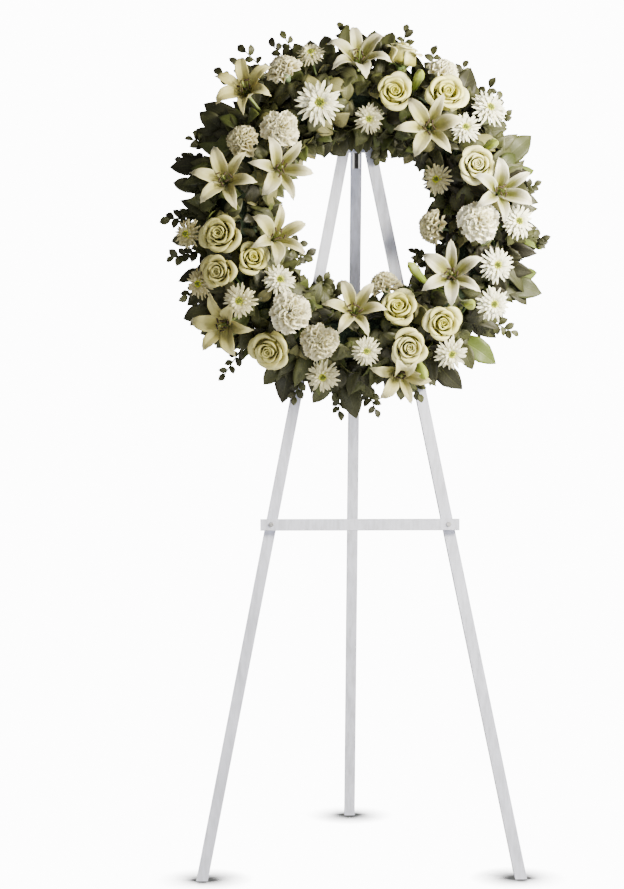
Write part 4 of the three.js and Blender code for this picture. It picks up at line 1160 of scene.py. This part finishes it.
def add_rose(sheaf, head, look, random):
    """Petals in a spiral from the heart out, five sepals, the green cup and the stem."""
    radius = head["across"] / 2
    start = random.uniform(0, 6.28)
    for k in range(ROSE_PETALS):
        share = k / (ROSE_PETALS - 1)
        grid = rose_petal_grid(radius, share, start + k * GOLDEN, random, look.roll * 1000)
        heart = min(1.0, head["heart"] * 1.25 * (1 - share) ** 0.55)
        tint = (head["tan_and_shade"], heart, 0)
        sheaf.add_shell(grid, ROSE_THICK, PETAL, random.random(), tint, head["frame"])
    for k in range(ROSE_SEPALS):
        spread = on_disc(1, start + 2 * math.pi * k / ROSE_SEPALS)
        line = through([spread * out + [0, 0, ROSE_BASE + up] for out, up in SEPAL_PATH], 7)
        add_sepal(sheaf, line, np.cross(spread, [0, 0, 1.0]), head["frame"], random.random())
    stalk(sheaf, head, ROSE_BASE + 4)
    cup = axis_points(ROSE_BASE, (-1, 3, 7, 10))
    sheaf.add_tube(cup, [2.4, 5, 7, 6], GREEN, PLAIN, head["frame"], 10)


def add_sepal(sheaf, line, across, place, chance):
    """A small pointed blade along a line of points, folded a little along its middle."""
    half, fold, thick = 4.2, 0.25, 0.6
    rows, columns = len(line), 5
    u = np.linspace(0, 1, rows)
    v = np.linspace(-1, 1, columns)
    across = across / np.linalg.norm(across)
    face = np.cross(headings(line), across)[:, None]
    width = half * along_stops(u, SEPAL_WIDTH)
    grid = blade(line, across, face, width, v, -fold * width[:, None] * np.abs(v)[None, :])
    sheaf.add_shell(grid, thick, GREEN, chance, PLAIN, place)


def carnation_petal_grid(radius, share, middle, frill, random):
    """A fan with a toothed, deeply frilled rim: share 0 stands in the heart, 1 lies outside."""
    rows, columns = 7, 19
    u = np.linspace(0, 1, rows)[:, None]
    v = np.linspace(-1, 1, columns)[None, :]
    rim = radius * (0.12 + 0.88 * share**0.8) * random.uniform(0.92, 1.0)
    half = math.radians(at_share(share, CARNATION_SPAN))
    top = CARNATION_BASE + at_share(share, CARNATION_TOP) + random.uniform(-1.5, 1.5)
    root = CARNATION_BASE + 14 + 8 * (1 - share)
    out = 1.5 + (rim - 1.5) * u ** (1.5 - 0.55 * share)
    up = root + (top - root) * u ** (0.95 + 0.35 * share)
    slope = math.atan2(top - root, rim)
    waves, phase = random.uniform(1.7, 2.6), random.uniform(0, 6.28)
    ripple = np.sin(waves * math.pi * v + phase)
    ripple = ripple + 0.4 * np.sin(waves * 2.3 * math.pi * v + 2 * phase)
    lift = frill * (0.75 + 0.35 * share) * ripple * smooth((u - 0.25) / 0.75)
    teeth = np.zeros((rows, columns))
    teeth[-1] = 0.8 * (-1.0) ** np.arange(columns) - 3.4 * np.abs(v[0]) ** 3
    teeth[-2] = -1.8 * np.abs(v[0]) ** 3
    out = out + teeth * math.cos(slope) - lift * math.sin(slope)
    up = up + teeth * math.sin(slope) + lift * math.cos(slope)
    angle = middle + half * v * (0.35 + 0.65 * u)
    return np.stack([out * np.cos(angle), out * np.sin(angle), up + 0 * angle], -1)


def add_carnation(sheaf, head, look, random):
    """Frilled petals from the heart out, over a long green cup and the stem."""
    radius = head["across"] / 2
    for k in range(CARNATION_PETALS):
        share = (k + 0.5) / CARNATION_PETALS
        grid = carnation_petal_grid(radius, share, k * GOLDEN, look.frill * 1000, random)
        tint = (head["tan_and_shade"], 0.35 * (1 - share), 0)
        sheaf.add_shell(grid, CARNATION_THICK, PETAL, random.random(), tint, head["frame"])
    cup = axis_points(CARNATION_BASE, (-1, 3, 10, 16, 18))
    sheaf.add_tube(cup, [2.4, 5.0, 6.4, 6.8, 4.0], GREEN, PLAIN, head["frame"], 10)
    stalk(sheaf, head, CARNATION_BASE + 2)


def add_mum_head(sheaf, head, random):
    """Four rings of rays round a dome of florets with a dark eye, over a shallow green cup."""
    radius = head["across"] / 2
    tint = (head["tan_and_shade"], 0, 0)
    rows, columns = 7, 5
    u = np.linspace(0, 1, rows)
    v = np.linspace(-1, 1, columns)
    for reach, count, root_up, tip_up in MUM_RINGS:
        spare = random.random()
        for k in range(count):
            length = radius * reach * random.uniform(0.82, 1.0)
            angle = 2 * math.pi * (k + spare + random.uniform(-0.22, 0.22)) / count
            out = np.linspace(radius * 0.10, length, rows)
            rise = MUM_BASE + root_up + (tip_up - root_up) * np.sin(u * math.pi * 0.6)
            rise = rise + random.uniform(-2.0, 2.0) * u**2
            spread, side = on_disc(1, angle), aside_of(angle)
            sway = random.uniform(-0.10, 0.10) * length * u**2
            half = radius * random.uniform(0.056, 0.074)
            width = half * along_stops(u, RAY_WIDTH)
            hollow = 0.45 * width[:, None] * v[None, :] ** 2
            line = spread * out[:, None] + side * sway[:, None]
            grid = blade(line, side, np.array([0, 0, 1.0]), width, v, rise[:, None] + hollow)
            chance = random.random()
            sheaf.add_shell(grid, RAY_THICK, PETAL, chance, tint, head["frame"])
    for k in range(MUM_FLORETS):
        share = math.sqrt((k + 0.5) / MUM_FLORETS)
        out = radius * 0.27 * share
        up = MUM_BASE + 16.5 - 3.5 * share**2
        angle = GOLDEN * k
        foot = np.array([out * math.cos(angle), out * math.sin(angle), up - 3])
        tip = foot + [0.15 * foot[0], 0.15 * foot[1], 3 + random.uniform(0, 1.0)]
        path = [foot, (foot + tip) / 2, tip]
        paint = EYE if share < 0.45 else FLORET
        sheaf.add_tube(path, [0.9, 1.2, 0.6], paint, tint, head["frame"], 5, random.random())
    cup = axis_points(MUM_BASE, (-2, 1, 4, 6))
    radii = [2.0, radius * 0.18, radius * 0.26, radius * 0.2]
    sheaf.add_tube(cup, radii, GREEN, PLAIN, head["frame"], 10)


# ---------------------------------------------------------------- foliage


# A leaf's width along its length, from its stalk to its tip
OVAL_LEAF = [(0, 0.06), (0.08, 0.12), (0.26, 0.78), (0.46, 1.0), (0.68, 0.92), (0.86, 0.55)]
OVAL_LEAF += [(0.95, 0.24), (1, 0.02)]
SMALL_LEAF = [(0, 0.1), (0.3, 0.85), (0.55, 1.0), (0.8, 0.7), (1, 0.03)]
LEAF_FOLD = 0.18
SPRIG_LEAVES = 8


def add_leaf(sheaf, foot, tip, half, face, tint, chance, random, arch=0.10, rows=9, stops=None):
    """An oval leaf with a folded midrib, a bent tip and a gently waved edge."""
    columns = 7 if rows > 7 else 5
    u = np.linspace(0, 1, rows)
    v = np.linspace(-1, 1, columns)
    foot, tip = np.asarray(foot, float), np.asarray(tip, float)
    run = tip - foot
    length = np.linalg.norm(run)
    heading = run / length
    face = face - heading * np.dot(face, heading)
    face = face / (np.linalg.norm(face) + 1e-9)
    side = np.cross(face, heading)
    bow = arch * length * np.sin(math.pi * u) - 0.10 * length * smooth((u - 0.6) / 0.4)
    line = foot + run * u[:, None] + face * bow[:, None]
    width = half * along_stops(u, stops or OVAL_LEAF)
    wave = 0.10 * width[:, None] * np.sin(9 * u + random.uniform(0, 6))[:, None] * np.abs(v) ** 2
    edge = LEAF_FOLD * width[:, None] * np.abs(v)[None, :] + wave * np.sign(v)
    grid = blade(line, side, face, width, v, edge)
    sheaf.add_shell(grid, LEAF_THICK, LEAF, chance, tint)


def add_sprig(sheaf, foot, tip, random):
    """A short twig with small leaves at its sides by turns and one at its end."""
    foot, tip = np.asarray(foot, float), np.asarray(tip, float)
    run = tip - foot
    length = np.linalg.norm(run)
    heading = run / length
    side = np.array([-run[1], run[0], 0.0])
    side /= np.linalg.norm(side) + 1e-9
    bend = side * random.uniform(-0.06, 0.06) * length
    count = 8
    line = through([foot, (foot + tip) / 2 + bend, tip], count)
    sheaf.add_tube(line, np.linspace(1.4, 0.9, count), TWIG, TWIG_TINT, None, 5)
    for k in range(SPRIG_LEAVES):
        spot = (0.34 + 0.62 * k / (SPRIG_LEAVES - 1)) * (count - 1)
        below, share = int(spot), spot % 1
        start = line[below] * (1 - share) + line[min(count - 1, below + 1)] * share
        turn = (1 if k % 2 else -1) * random.uniform(0.6, 1.1)
        if k == SPRIG_LEAVES - 1:
            turn = random.uniform(-0.2, 0.2)
        away = heading * math.cos(turn) + side * math.sin(turn)
        away = away + np.array([0, 0, random.uniform(-0.35, 0.45)])
        size = random.uniform(14, 20)
        face = random.facing(0.5)
        add_leaf(sheaf, start, start + away * size, size * 0.36, face, SPRIG_TINT,
                 random.random(), random, rows=6, stops=SMALL_LEAF)


def nearest(line, spot):
    return line[np.argmin(np.linalg.norm(line - spot, axis=1))]


def spread_round(k, start=0.0):
    """The clock angle of leaf k, so that any number of leaves is spread evenly."""
    return 2 * math.pi * ((k * 0.6180339887 + start) % 1)


def quarter(quarters, clock):
    """The one of four pieces that holds this part of the ring."""
    return quarters[int(clock / (2 * math.pi) * 4) % 4]


def filling_tint(clock, most, random):
    """A leaf's tint: more painted shadow on the right, where the strong light stands, and at times
    fresh.
    """
    dark = min(1.0, random.uniform(0.0, most) + 0.4 * max(0.0, math.cos(clock)))
    return (dark, 0.2 if random.random() > 0.85 else 0.0, 0.0)


class Draw:
    """Seeded random draws."""

    def __init__(self, seed):
        self.source = np.random.default_rng(seed)

    def random(self):
        return float(self.source.random())

    def uniform(self, low, high):
        return low + (high - low) * self.random()

    def facing(self, spread):
        """A leaf's face, turned from the viewer by up to a spread on each side."""
        return np.array([self.uniform(-spread, spread), self.uniform(-spread, spread), 1.0])


# ---------------------------------------------------------------- operators


STICKS = ("front_leg_left", "front_leg_right", "crossbar", "head_plate", "back_leg")
METAL_PARTS = (
    "crossbar_screw_left",
    "crossbar_screw_right",
    "hinge_leaf_fixed",
    "hinge_leaf_moving",
    "hinge_pin",
)


def numbered(name, index):
    return f"{name}_{index + 1:02d}"


def give(name, finish):
    """A CAD node's own finish."""
    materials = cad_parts[name].data.materials
    materials.clear()
    materials.append(finish.material)


class WREATH_OT_easel(bpy.types.Operator):
    """Paint the easel's sticks and finish its hinge and screws"""

    bl_idname = "wreath.easel"
    bl_label = "Easel"

    def execute(self, context):
        look = context.scene.wreath_easel
        paint = Finish("easel_paint", Roughness=0.42, Coat_Weight=0.12, Coat_Roughness=0.3)
        place = paint.space()
        scaled = paint.node("Mapping", {"Vector": place, "Scale": (1.0, 1.0, 0.05)}).outputs[0]
        grain = paint.noise(scaled, 150.0, 5.0, 0.6)
        cloud = paint.noise(place, 9.0, 3.0)
        dull, worn = times(look.paint, 0.84), times(look.paint, 0.55)
        # The paint's colour, darker and bluer than white, carries painted shade
        colour = paint.mix(paint.stops(cloud, (0.35, 0.0), (0.7, 1.0)), look.paint, dull)
        colour = paint.mix(paint.stops(grain, (0.42, 0.0), (0.68, 0.6)), colour, worn)
        paint.colour(colour)
        paint.rough(paint.stops(grain, (0.3, 0.36), (0.75, 0.55)))
        paint.bump(grain, 0.25, 0.0005)
        steel = Finish("hinge_steel", Roughness=0.32, Metallic=1.0)
        brushed = steel.noise(steel.space(), 700.0, 4.0)
        dark = times(look.steel, 0.45)
        colour = steel.mix(steel.stops(brushed, (0.3, 0.0), (0.7, 1.0)), dark, look.steel)
        # Pale steel begins a little over 3 mm from the middle: on the hinge's edges it is a painted
        # highlight, and the screws take it as their own finish. The distance is stretched a hundred
        # times to fit the ramp
        side = steel.node("SeparateXYZ", {"Vector": steel.space()}).outputs["X"]
        side = steel.math("MULTIPLY", steel.math("ABSOLUTE", side), 100.0)
        highlight_and_screws = steel.math("MULTIPLY", steel.stops(side, (0.31, 0.0), (0.38, 1.0)), 0.8)
        steel.colour(steel.mix(highlight_and_screws, colour, look.highlight_and_screws))
        steel.rough(steel.stops(brushed, (0.2, 0.25), (0.8, 0.5)))
        steel.bump(brushed, 0.2, 0.0003)
        for name in (*STICKS, "hanging_peg"):
            give(name, paint)
        for name in METAL_PARTS:
            give(name, steel)
        for name in STICKS:
            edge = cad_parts[name].modifiers.new("worn_edges", "BEVEL")
            edge.width = look.edge
            edge.segments = 2
            edge.limit_method = "ANGLE"
            edge.angle_limit = math.radians(40)
        return {"FINISHED"}


class WREATH_OT_ring(bpy.types.Operator):
    """Finish the foam ring and its tray"""

    bl_idname = "wreath.ring"
    bl_label = "Foam ring and tray"

    def execute(self, context):
        look = context.scene.wreath_ring
        # The foam's colour carries painted shade for the gaps between the flowers
        foam = Finish("soaked_foam", Roughness=0.9)
        pores = foam.noise(foam.space(), 500.0, 3.0)
        wet = foam.noise(foam.space(), 14.0, 2.0)
        pale = times(look.foam, 2.2)
        colour = foam.mix(foam.stops(pores, (0.35, 0.0), (0.65, 1.0)), look.foam, pale)
        foam.colour(foam.mix(foam.stops(wet, (0.3, 0.0), (0.8, 0.6)), colour, look.foam))
        foam.bump(pores, 0.8, 0.001)
        tray = Finish("tray_plastic", Roughness=0.45)
        scuffs = tray.noise(tray.space(), 60.0, 4.0)
        pale = times(look.tray, 1.8)
        tray.colour(tray.mix(tray.stops(scuffs, (0.45, 0.0), (0.75, 0.6)), look.tray, pale))
        tray.rough(tray.stops(scuffs, (0.3, 0.38), (0.8, 0.6)))
        tray.bump(tray.noise(tray.space(), 900.0, 2.0), 0.15, 0.0003)
        give("foam_ring", foam)
        give("ring_tray", tray)
        return {"FINISHED"}


class WREATH_OT_lilies(bpy.types.Operator):
    """Open lilies with stamens, and the green buds on their stems"""

    bl_idname = "wreath.lilies"
    bl_label = "Lilies"

    def execute(self, context):
        look = context.scene.wreath_lily
        white, heart, warm = look.white, look.heart, (0.36, 0.33, 0.10)
        petal = petal_finish("lily_tepal", white, heart, 0.88, 0.95, 16.0, warm)
        green = plain_green("lily_stem", (0.09, 0.13, 0.03), (0.24, 0.30, 0.08))
        anther = plain_green("lily_anther", (0.012, 0.007, 0.002), (0.045, 0.025, 0.008), 0.85)
        stigma = plain_green("lily_stigma", (0.05, 0.06, 0.012), (0.14, 0.15, 0.03), 0.45)
        green_tip, green_base, warm = (0.24, 0.30, 0.012), (0.13, 0.19, 0.006), (0.30, 0.33, 0.04)
        bud = petal_finish("lily_bud", green_tip, green_base, 0.9, 0.4, 12.0, warm)
        paints = [petal, green, anther, stigma, bud]
        buds = heads_of("bud")
        for index, head in enumerate(heads_of("lily")):
            random = Draw(LILY_SEED + index)
            sheaf = Sheaf()
            node = numbered("lily", index)
            for k, (lift, rise) in enumerate(lily_lifts(head, node)):
                add_tepal(sheaf, head, k, lift, rise, look, random)
            add_stamens(sheaf, head, random)
            stalk(sheaf, head, LILY_BASE + 6)
            for row, bud_head in zip(BUDS, buds):
                if row[4] == index:
                    add_bud(sheaf, bud_head, random)
                    branch(sheaf, head, bud_head, BUD_BASE + 2)
            sheaf.piece(numbered("lily_bloom", index), paints, "lily_petals", [node])
        return {"FINISHED"}


class WREATH_OT_roses(bpy.types.Operator):
    """Roses with petals in a spiral"""

    bl_idname = "wreath.roses"
    bl_label = "Roses"

    def execute(self, context):
        look = context.scene.wreath_rose
        white, heart, warm = look.white, look.heart, (0.36, 0.325, 0.09)
        petal = petal_finish("rose_petal", white, heart, 0.95, 0.0, 10.0, warm, sheen=0.1)
        green = plain_green("rose_green", (0.03, 0.06, 0.015), (0.10, 0.15, 0.04))
        for index, head in enumerate(heads_of("rose")):
            sheaf = Sheaf()
            add_rose(sheaf, head, look, Draw(ROSE_SEED + index))
            node = numbered("rose", index)
            sheaf.piece(numbered("rose_bloom", index), [petal, green], "rose_petals", [node])
        return {"FINISHED"}


class WREATH_OT_carnations(bpy.types.Operator):
    """Carnations with toothed, frilled petals"""

    bl_idname = "wreath.carnations"
    bl_label = "Carnations"

    def execute(self, context):
        look = context.scene.wreath_carnation
        white, heart, warm = look.white, look.heart, WARM_WHITE
        petal = petal_finish("carnation_petal", white, heart, 0.8, 0.0, 14.0, warm, 0.3, 0.6)
        green = plain_green("carnation_green", (0.06, 0.10, 0.04), (0.16, 0.22, 0.11))
        for index, head in enumerate(heads_of("carnation")):
            sheaf = Sheaf()
            add_carnation(sheaf, head, look, Draw(CARNATION_SEED + index))
            node, name = numbered("carnation", index), numbered("carnation_bloom", index)
            sheaf.piece(name, [petal, green], "carnation_petals", [node])
        return {"FINISHED"}


class WREATH_OT_chrysanthemums(bpy.types.Operator):
    """Sprays of white chrysanthemums with a yellow-green ring and a dark eye"""

    bl_idname = "wreath.chrysanthemums"
    bl_label = "Chrysanthemums"

    def execute(self, context):
        look = context.scene.wreath_mum
        white, heart, warm = look.white, look.ring, WARM_WHITE
        petal = petal_finish("mum_ray", white, heart, 0.30, 0.0, 5.0, warm, hard=0.55)
        green = plain_green("mum_green", (0.04, 0.08, 0.02), (0.12, 0.18, 0.05))
        ring = plain_green("mum_ring", look.ring, times(look.ring, 1.4), 0.7)
        eye = plain_green("mum_eye", look.eye, times(look.eye, 2.0), 0.8)
        mums = iter(heads_of("mum"))
        for index, spray in enumerate(MUM_SPRAYS):
            random = Draw(MUM_SEED + index)
            sheaf = Sheaf()
            first = next(mums)
            add_mum_head(sheaf, first, random)
            stalk(sheaf, first, MUM_BASE)
            for _ in spray[1:]:
                other = next(mums)
                add_mum_head(sheaf, other, random)
                branch(sheaf, first, other, MUM_BASE)
            node, name = numbered("mum_spray", index), numbered("mum_bloom", index)
            sheaf.piece(name, [petal, green, ring, eye], "chrysanthemum_petals", [node])
        return {"FINISHED"}


def leaf_paints(look):
    leaf = leaf_finish("leaf_blade", look.dark, look.light, 0.5)
    twig = plain_green("leaf_twig", (0.03, 0.045, 0.015), (0.08, 0.09, 0.03))
    return [leaf, twig]


class WREATH_OT_greens(bpy.types.Operator):
    """Leafy stems round both rims, with large leaves and small sprigs"""

    bl_idname = "wreath.greens"
    bl_label = "Leafy stems"

    def execute(self, context):
        paints = leaf_paints(context.scene.wreath_leaf)
        for index, (side, start, end, large, sprigs, seed) in enumerate(GREENS):
            random = Draw(GREENS_SEED + seed)
            sheaf = Sheaf()
            rim = RING_RADIUS + side * 46
            first, last = math.radians(start), math.radians(end)
            path = [on_disc(RING_RADIUS + side * out, first, 15) for out in (15, 36)]
            path += [on_disc(rim, first + (last - first) * k / 4, 10) for k in range(1, 5)]
            count = 26
            line = through(path, count)
            sheaf.add_tube(line, np.linspace(1.7, 1.1, count), TWIG, RIM_TWIG_TINT)
            for degrees in large:
                clock = math.radians(degrees)
                reach = RING_RADIUS + 122 if side > 0 else RING_RADIUS - 84
                foot = nearest(line, on_disc(rim, clock - side * 0.07, 10))
                tip = on_disc(reach, clock, 12)
                face = random.facing(0.4)
                tint = (*BRIGHT_LARGE_LEAVES.get(degrees, LARGE_LEAF_SHADE), 0)
                chance = random.uniform(0.0, 0.6)
                add_leaf(sheaf, foot, tip, 19, face, tint, chance, random, arch=0.06, rows=14)
            for degrees, reach in sprigs:
                clock = math.radians(degrees)
                foot = nearest(line, on_disc(rim, clock - 0.05, 10))
                add_sprig(sheaf, foot, on_disc(reach, clock, random.uniform(8, 14)), random)
            node = numbered("greens", index)
            sheaf.piece(numbered("leafy_stem", index), paints, "foliage", [node])
        return {"FINISHED"}


class WREATH_OT_filling(bpy.types.Operator):
    """Leaves that fill the gaps between the flowers and round the rims"""

    bl_idname = "wreath.filling"
    bl_label = "Filling leaves"

    def execute(self, context):
        look = context.scene.wreath_leaf
        paints = leaf_paints(look)
        random = Draw(FILLING_SEED)
        quarters = [Sheaf() for _ in range(4)]
        for k in range(look.between):
            self.between(quarters, spread_round(k), random)
        for k in range(look.rim):
            self.across_rim(quarters, spread_round(k, 0.31), k % 4 != 3, random)
        for k in range(look.rim // 3):
            inner, way = k % 3 == 2, 1 if k % 2 else -1
            self.along_rim(quarters, spread_round(k, 0.73), inner, way, random)
        for degrees, reach, size in RIM_LEAVES:
            clock = math.radians(degrees)
            inward = -1 if reach < RING_RADIUS else 1
            start = clock + random.uniform(-0.06, 0.06)
            foot = on_disc(reach - inward * size, start, random.uniform(8, 20))
            tip = on_disc(reach, clock, random.uniform(8, 24))
            face = random.facing(0.5)
            tint = GREEN_TINT if degrees in GREEN_RIM_LEAVES else SHADOWED_TINT
            tint = TAN_TINT if degrees in TAN_RIM_LEAVES else tint
            sheaf = quarter(quarters, clock)
            add_leaf(sheaf, foot, tip, size * 0.27, face, tint, random.random(), random)
        for degrees, reach in EXTRA_SPRIGS:
            clock = math.radians(degrees)
            foot = on_disc(236 if reach > RING_RADIUS else 156, clock - 0.05, 12)
            tip = on_disc(reach, clock, random.uniform(6, 20))
            add_sprig(quarter(quarters, clock), foot, tip, random)
        for index, sheaf in enumerate(quarters):
            sheaf.piece(numbered("filling_leaves", index), paints, "foliage")
        return {"FINISHED"}

    def between(self, quarters, clock, random):
        """A leaf that stands between the flowers, at any angle over the foam."""
        spot = ring_frame(clock, math.radians(86) * (2 * random.random() - 1))
        turn = random.uniform(0, 2 * math.pi)
        heading = on_disc(1, turn, random.uniform(0.15, 0.7))
        heading /= np.linalg.norm(heading)
        length = random.uniform(26, 44)
        foot = np.array([0, 0, random.uniform(32, 44)]) - heading * [1, 1, 0] * length * 0.4
        foot, tip = moved([foot, foot + heading * length], spot)
        face = spot[:3, 2] + 0.5 * np.array([random.uniform(-1, 1) for _ in range(3)])
        tint = filling_tint(clock, 0.85, random)
        if random.random() > 0.9:
            tint = (0.0, 0.0, random.uniform(0.2, 0.6))
        half = length * random.uniform(0.26, 0.36)
        chance = random.random()
        add_leaf(quarter(quarters, clock), foot, tip, half, face, tint, chance, random, rows=7)

    def across_rim(self, quarters, clock, outer, random):
        """A leaf that points out over the outer rim, or in over the inner one."""
        end = clock + random.uniform(-0.16, 0.16)
        if outer:
            foot = on_disc(random.uniform(212, 240), clock, random.uniform(2, 40))
            tip = on_disc(random.uniform(252, 292), end, random.uniform(2, 44))
        else:
            foot = on_disc(random.uniform(156, 170), clock, random.uniform(4, 34))
            tip = on_disc(random.uniform(118, 138), end, random.uniform(4, 50))
        face = random.facing(0.6)
        tint = filling_tint(clock, 0.7, random)
        half = min(13, np.linalg.norm(tip - foot) * random.uniform(0.25, 0.34))
        chance = random.random()
        add_leaf(quarter(quarters, clock), foot, tip, half, face, tint, chance, random, rows=7)

    def along_rim(self, quarters, clock, inner, way, random):
        """A broad leaf that lies along one of the rims."""
        reach = random.uniform(140, 156) if inner else random.uniform(226, 254)
        turn = random.uniform(0.9, 2.2) * way
        heading = on_disc(1, clock + turn) * random.uniform(17, 24)
        middle = on_disc(reach, clock, random.uniform(0, 26))
        face, half = random.facing(0.5), random.uniform(9, 13)
        # A random share of painted shadow
        tint = (random.uniform(0.2, 0.9), 0, 0)
        foot, tip, chance = middle - heading, middle + heading, random.random()
        add_leaf(quarter(quarters, clock), foot, tip, half, face, tint, chance, random, rows=7)


# Name, the studio setting that holds its power, place, target, size in metres and colour
WARM_LIGHT, COOL_LIGHT = (1.0, 0.94, 0.75), (0.97, 0.98, 1.0)
LAMPS = [
    ("key_light", "key", (1.0, -0.85, 1.4), (0.05, -0.1, 1.05), 0.5, WARM_LIGHT),
    ("leg_light", "legs", (0.5, -2.2, 0.5), (0.0, -0.1, 0.25), 1.0, COOL_LIGHT),
    ("fill_light", "fill", (-2.6, -2.6, 1.4), (0.0, -0.1, 0.9), 1.6, WARM_LIGHT),
    ("rear_light", "rear", (-1.0, 2.8, 1.5), (0.0, 0.0, 0.9), 1.8, COOL_LIGHT),
]
# The camera: metres, millimetres of focal length, and degrees down and to the right
CAMERA_PLACE = (-0.172, -4.0267, 0.916)
FOCAL_LENGTH = 98.77
CAMERA_DOWN = 3.49
CAMERA_RIGHT = 1.42
FLOOR_HALF = 14.0
FLOOR_LEVEL = -0.0005


class WREATH_OT_studio(bpy.types.Operator):
    """Pale floor, soft lights and the camera at the photograph's place"""

    bl_idname = "wreath.studio"
    bl_label = "Studio"

    def execute(self, context):
        look = context.scene.wreath_studio
        self.floor(context, look)
        for name, power, place, target, size, tint in LAMPS:
            self.light(context, name, getattr(look, power), place, target, size, tint)
        self.room(context, look)
        lens = bpy.data.cameras.new("studio_camera")
        lens.sensor_fit = "VERTICAL"
        lens.sensor_height = 36.0
        lens.lens = FOCAL_LENGTH
        camera = bpy.data.objects.new("studio_camera", lens)
        camera.location = CAMERA_PLACE
        turn = (math.radians(90 - CAMERA_DOWN), 0.0, math.radians(-CAMERA_RIGHT))
        camera.rotation_euler = Euler(turn, "XYZ")
        context.scene.collection.objects.link(camera)
        context.scene.camera = camera
        return {"FINISHED"}

    def floor(self, context, look):
        """A floor that is white to the camera, with a soft shade close round the feet."""
        paint = Finish("studio_floor", Roughness=0.8)
        cloud = paint.noise(paint.space(), 1.3, 3.0)
        paint.colour(paint.mix(cloud, look.floor, times(look.floor, 0.97)))
        nook = paint.node("AmbientOcclusion", {"Distance": 0.07}, samples=24)
        shade = paint.math("POWER", nook.outputs["AO"], 15.0)
        shade = paint.math("MAXIMUM", shade, 0.012)
        strength = paint.math("MULTIPLY", shade, look.back)
        glow = paint.node("Emission", {"Strength": strength})
        sight = paint.node("LightPath").outputs["Is Camera Ray"]
        sockets = {0: sight, 1: paint.shader.outputs[0], 2: glow.outputs[0]}
        both = paint.node("MixShader", sockets)
        paint.feed(paint.tree.nodes["Material Output"].inputs["Surface"], both.outputs[0])
        mesh = bpy.data.meshes.new("studio_floor")
        turns = ((-1, -1), (1, -1), (1, 1), (-1, 1))
        corners = [(x * FLOOR_HALF, y * FLOOR_HALF, FLOOR_LEVEL) for x, y in turns]
        mesh.from_pydata(corners, [], [(0, 1, 2, 3)])
        mesh.materials.append(paint.material)
        floor = bpy.data.objects.new("studio_floor", mesh)
        context.scene.collection.objects.link(floor)

    def room(self, context, look):
        """The room's even light, and the white that only the camera sees."""
        world = bpy.data.worlds.new("studio_room")
        world.use_nodes = True
        tree = world.node_tree
        even = tree.nodes["Background"]
        even.inputs["Color"].default_value = (1.0, 0.97, 0.91, 1)
        even.inputs["Strength"].default_value = look.sky
        seen = tree.nodes.new("ShaderNodeBackground")
        seen.inputs["Color"].default_value = (1.0, 1.0, 1.0, 1)
        seen.inputs["Strength"].default_value = look.back
        path = tree.nodes.new("ShaderNodeLightPath")
        mix = tree.nodes.new("ShaderNodeMixShader")
        tree.links.new(path.outputs["Is Camera Ray"], mix.inputs["Fac"])
        tree.links.new(even.outputs[0], mix.inputs[1])
        tree.links.new(seen.outputs[0], mix.inputs[2])
        tree.links.new(mix.outputs[0], tree.nodes["World Output"].inputs["Surface"])
        context.scene.world = world

    def light(self, context, name, power, place, target, size, tint):
        lamp = bpy.data.lights.new(name, "AREA")
        lamp.energy = power
        lamp.color = tint
        lamp.shape = "SQUARE"
        lamp.size = size
        thing = bpy.data.objects.new(name, lamp)
        thing.location = place
        aim = Vector(target) - Vector(place)
        thing.rotation_euler = aim.to_track_quat("-Z", "Y").to_euler()
        context.scene.collection.objects.link(thing)


OPERATORS = [
    WREATH_OT_easel,
    WREATH_OT_ring,
    WREATH_OT_lilies,
    WREATH_OT_roses,
    WREATH_OT_carnations,
    WREATH_OT_chrysanthemums,
    WREATH_OT_greens,
    WREATH_OT_filling,
    WREATH_OT_studio,
]
LOOKS = {
    "wreath_easel": EaselLook,
    "wreath_ring": RingLook,
    "wreath_lily": LilyLook,
    "wreath_rose": RoseLook,
    "wreath_carnation": CarnationLook,
    "wreath_mum": MumLook,
    "wreath_leaf": LeafLook,
    "wreath_studio": StudioLook,
}


class WREATH_PT_dresser(bpy.types.Panel):
    """The wreath's pieces, and the sizes and colours that they are made with"""

    bl_idname = "WREATH_PT_dresser"
    bl_label = "Funeral wreath"
    bl_space_type = "VIEW_3D"
    bl_region_type = "UI"
    bl_category = "Wreath"

    def draw(self, context):
        for name, group in LOOKS.items():
            box = self.layout.box()
            box.label(text=group.__doc__)
            for key in group.__annotations__:
                box.prop(getattr(context.scene, name), key)
        for operator in OPERATORS:
            self.layout.operator(operator.bl_idname)


def register():
    for group in LOOKS.values():
        bpy.utils.register_class(group)
    for operator in OPERATORS:
        bpy.utils.register_class(operator)
    bpy.utils.register_class(WREATH_PT_dresser)
    for name, group in LOOKS.items():
        setattr(bpy.types.Scene, name, PointerProperty(type=group))


def unregister():
    for name in LOOKS:
        delattr(bpy.types.Scene, name)
    bpy.utils.unregister_class(WREATH_PT_dresser)
    for operator in reversed(OPERATORS):
        bpy.utils.unregister_class(operator)
    for group in reversed(list(LOOKS.values())):
        bpy.utils.unregister_class(group)


def main():
    register()
    bpy.ops.wreath.easel()
    bpy.ops.wreath.ring()
    bpy.ops.wreath.lilies()
    bpy.ops.wreath.roses()
    bpy.ops.wreath.carnations()
    bpy.ops.wreath.chrysanthemums()
    bpy.ops.wreath.greens()
    bpy.ops.wreath.filling()
    bpy.ops.wreath.studio()


if __name__ == "__main__":
    main()
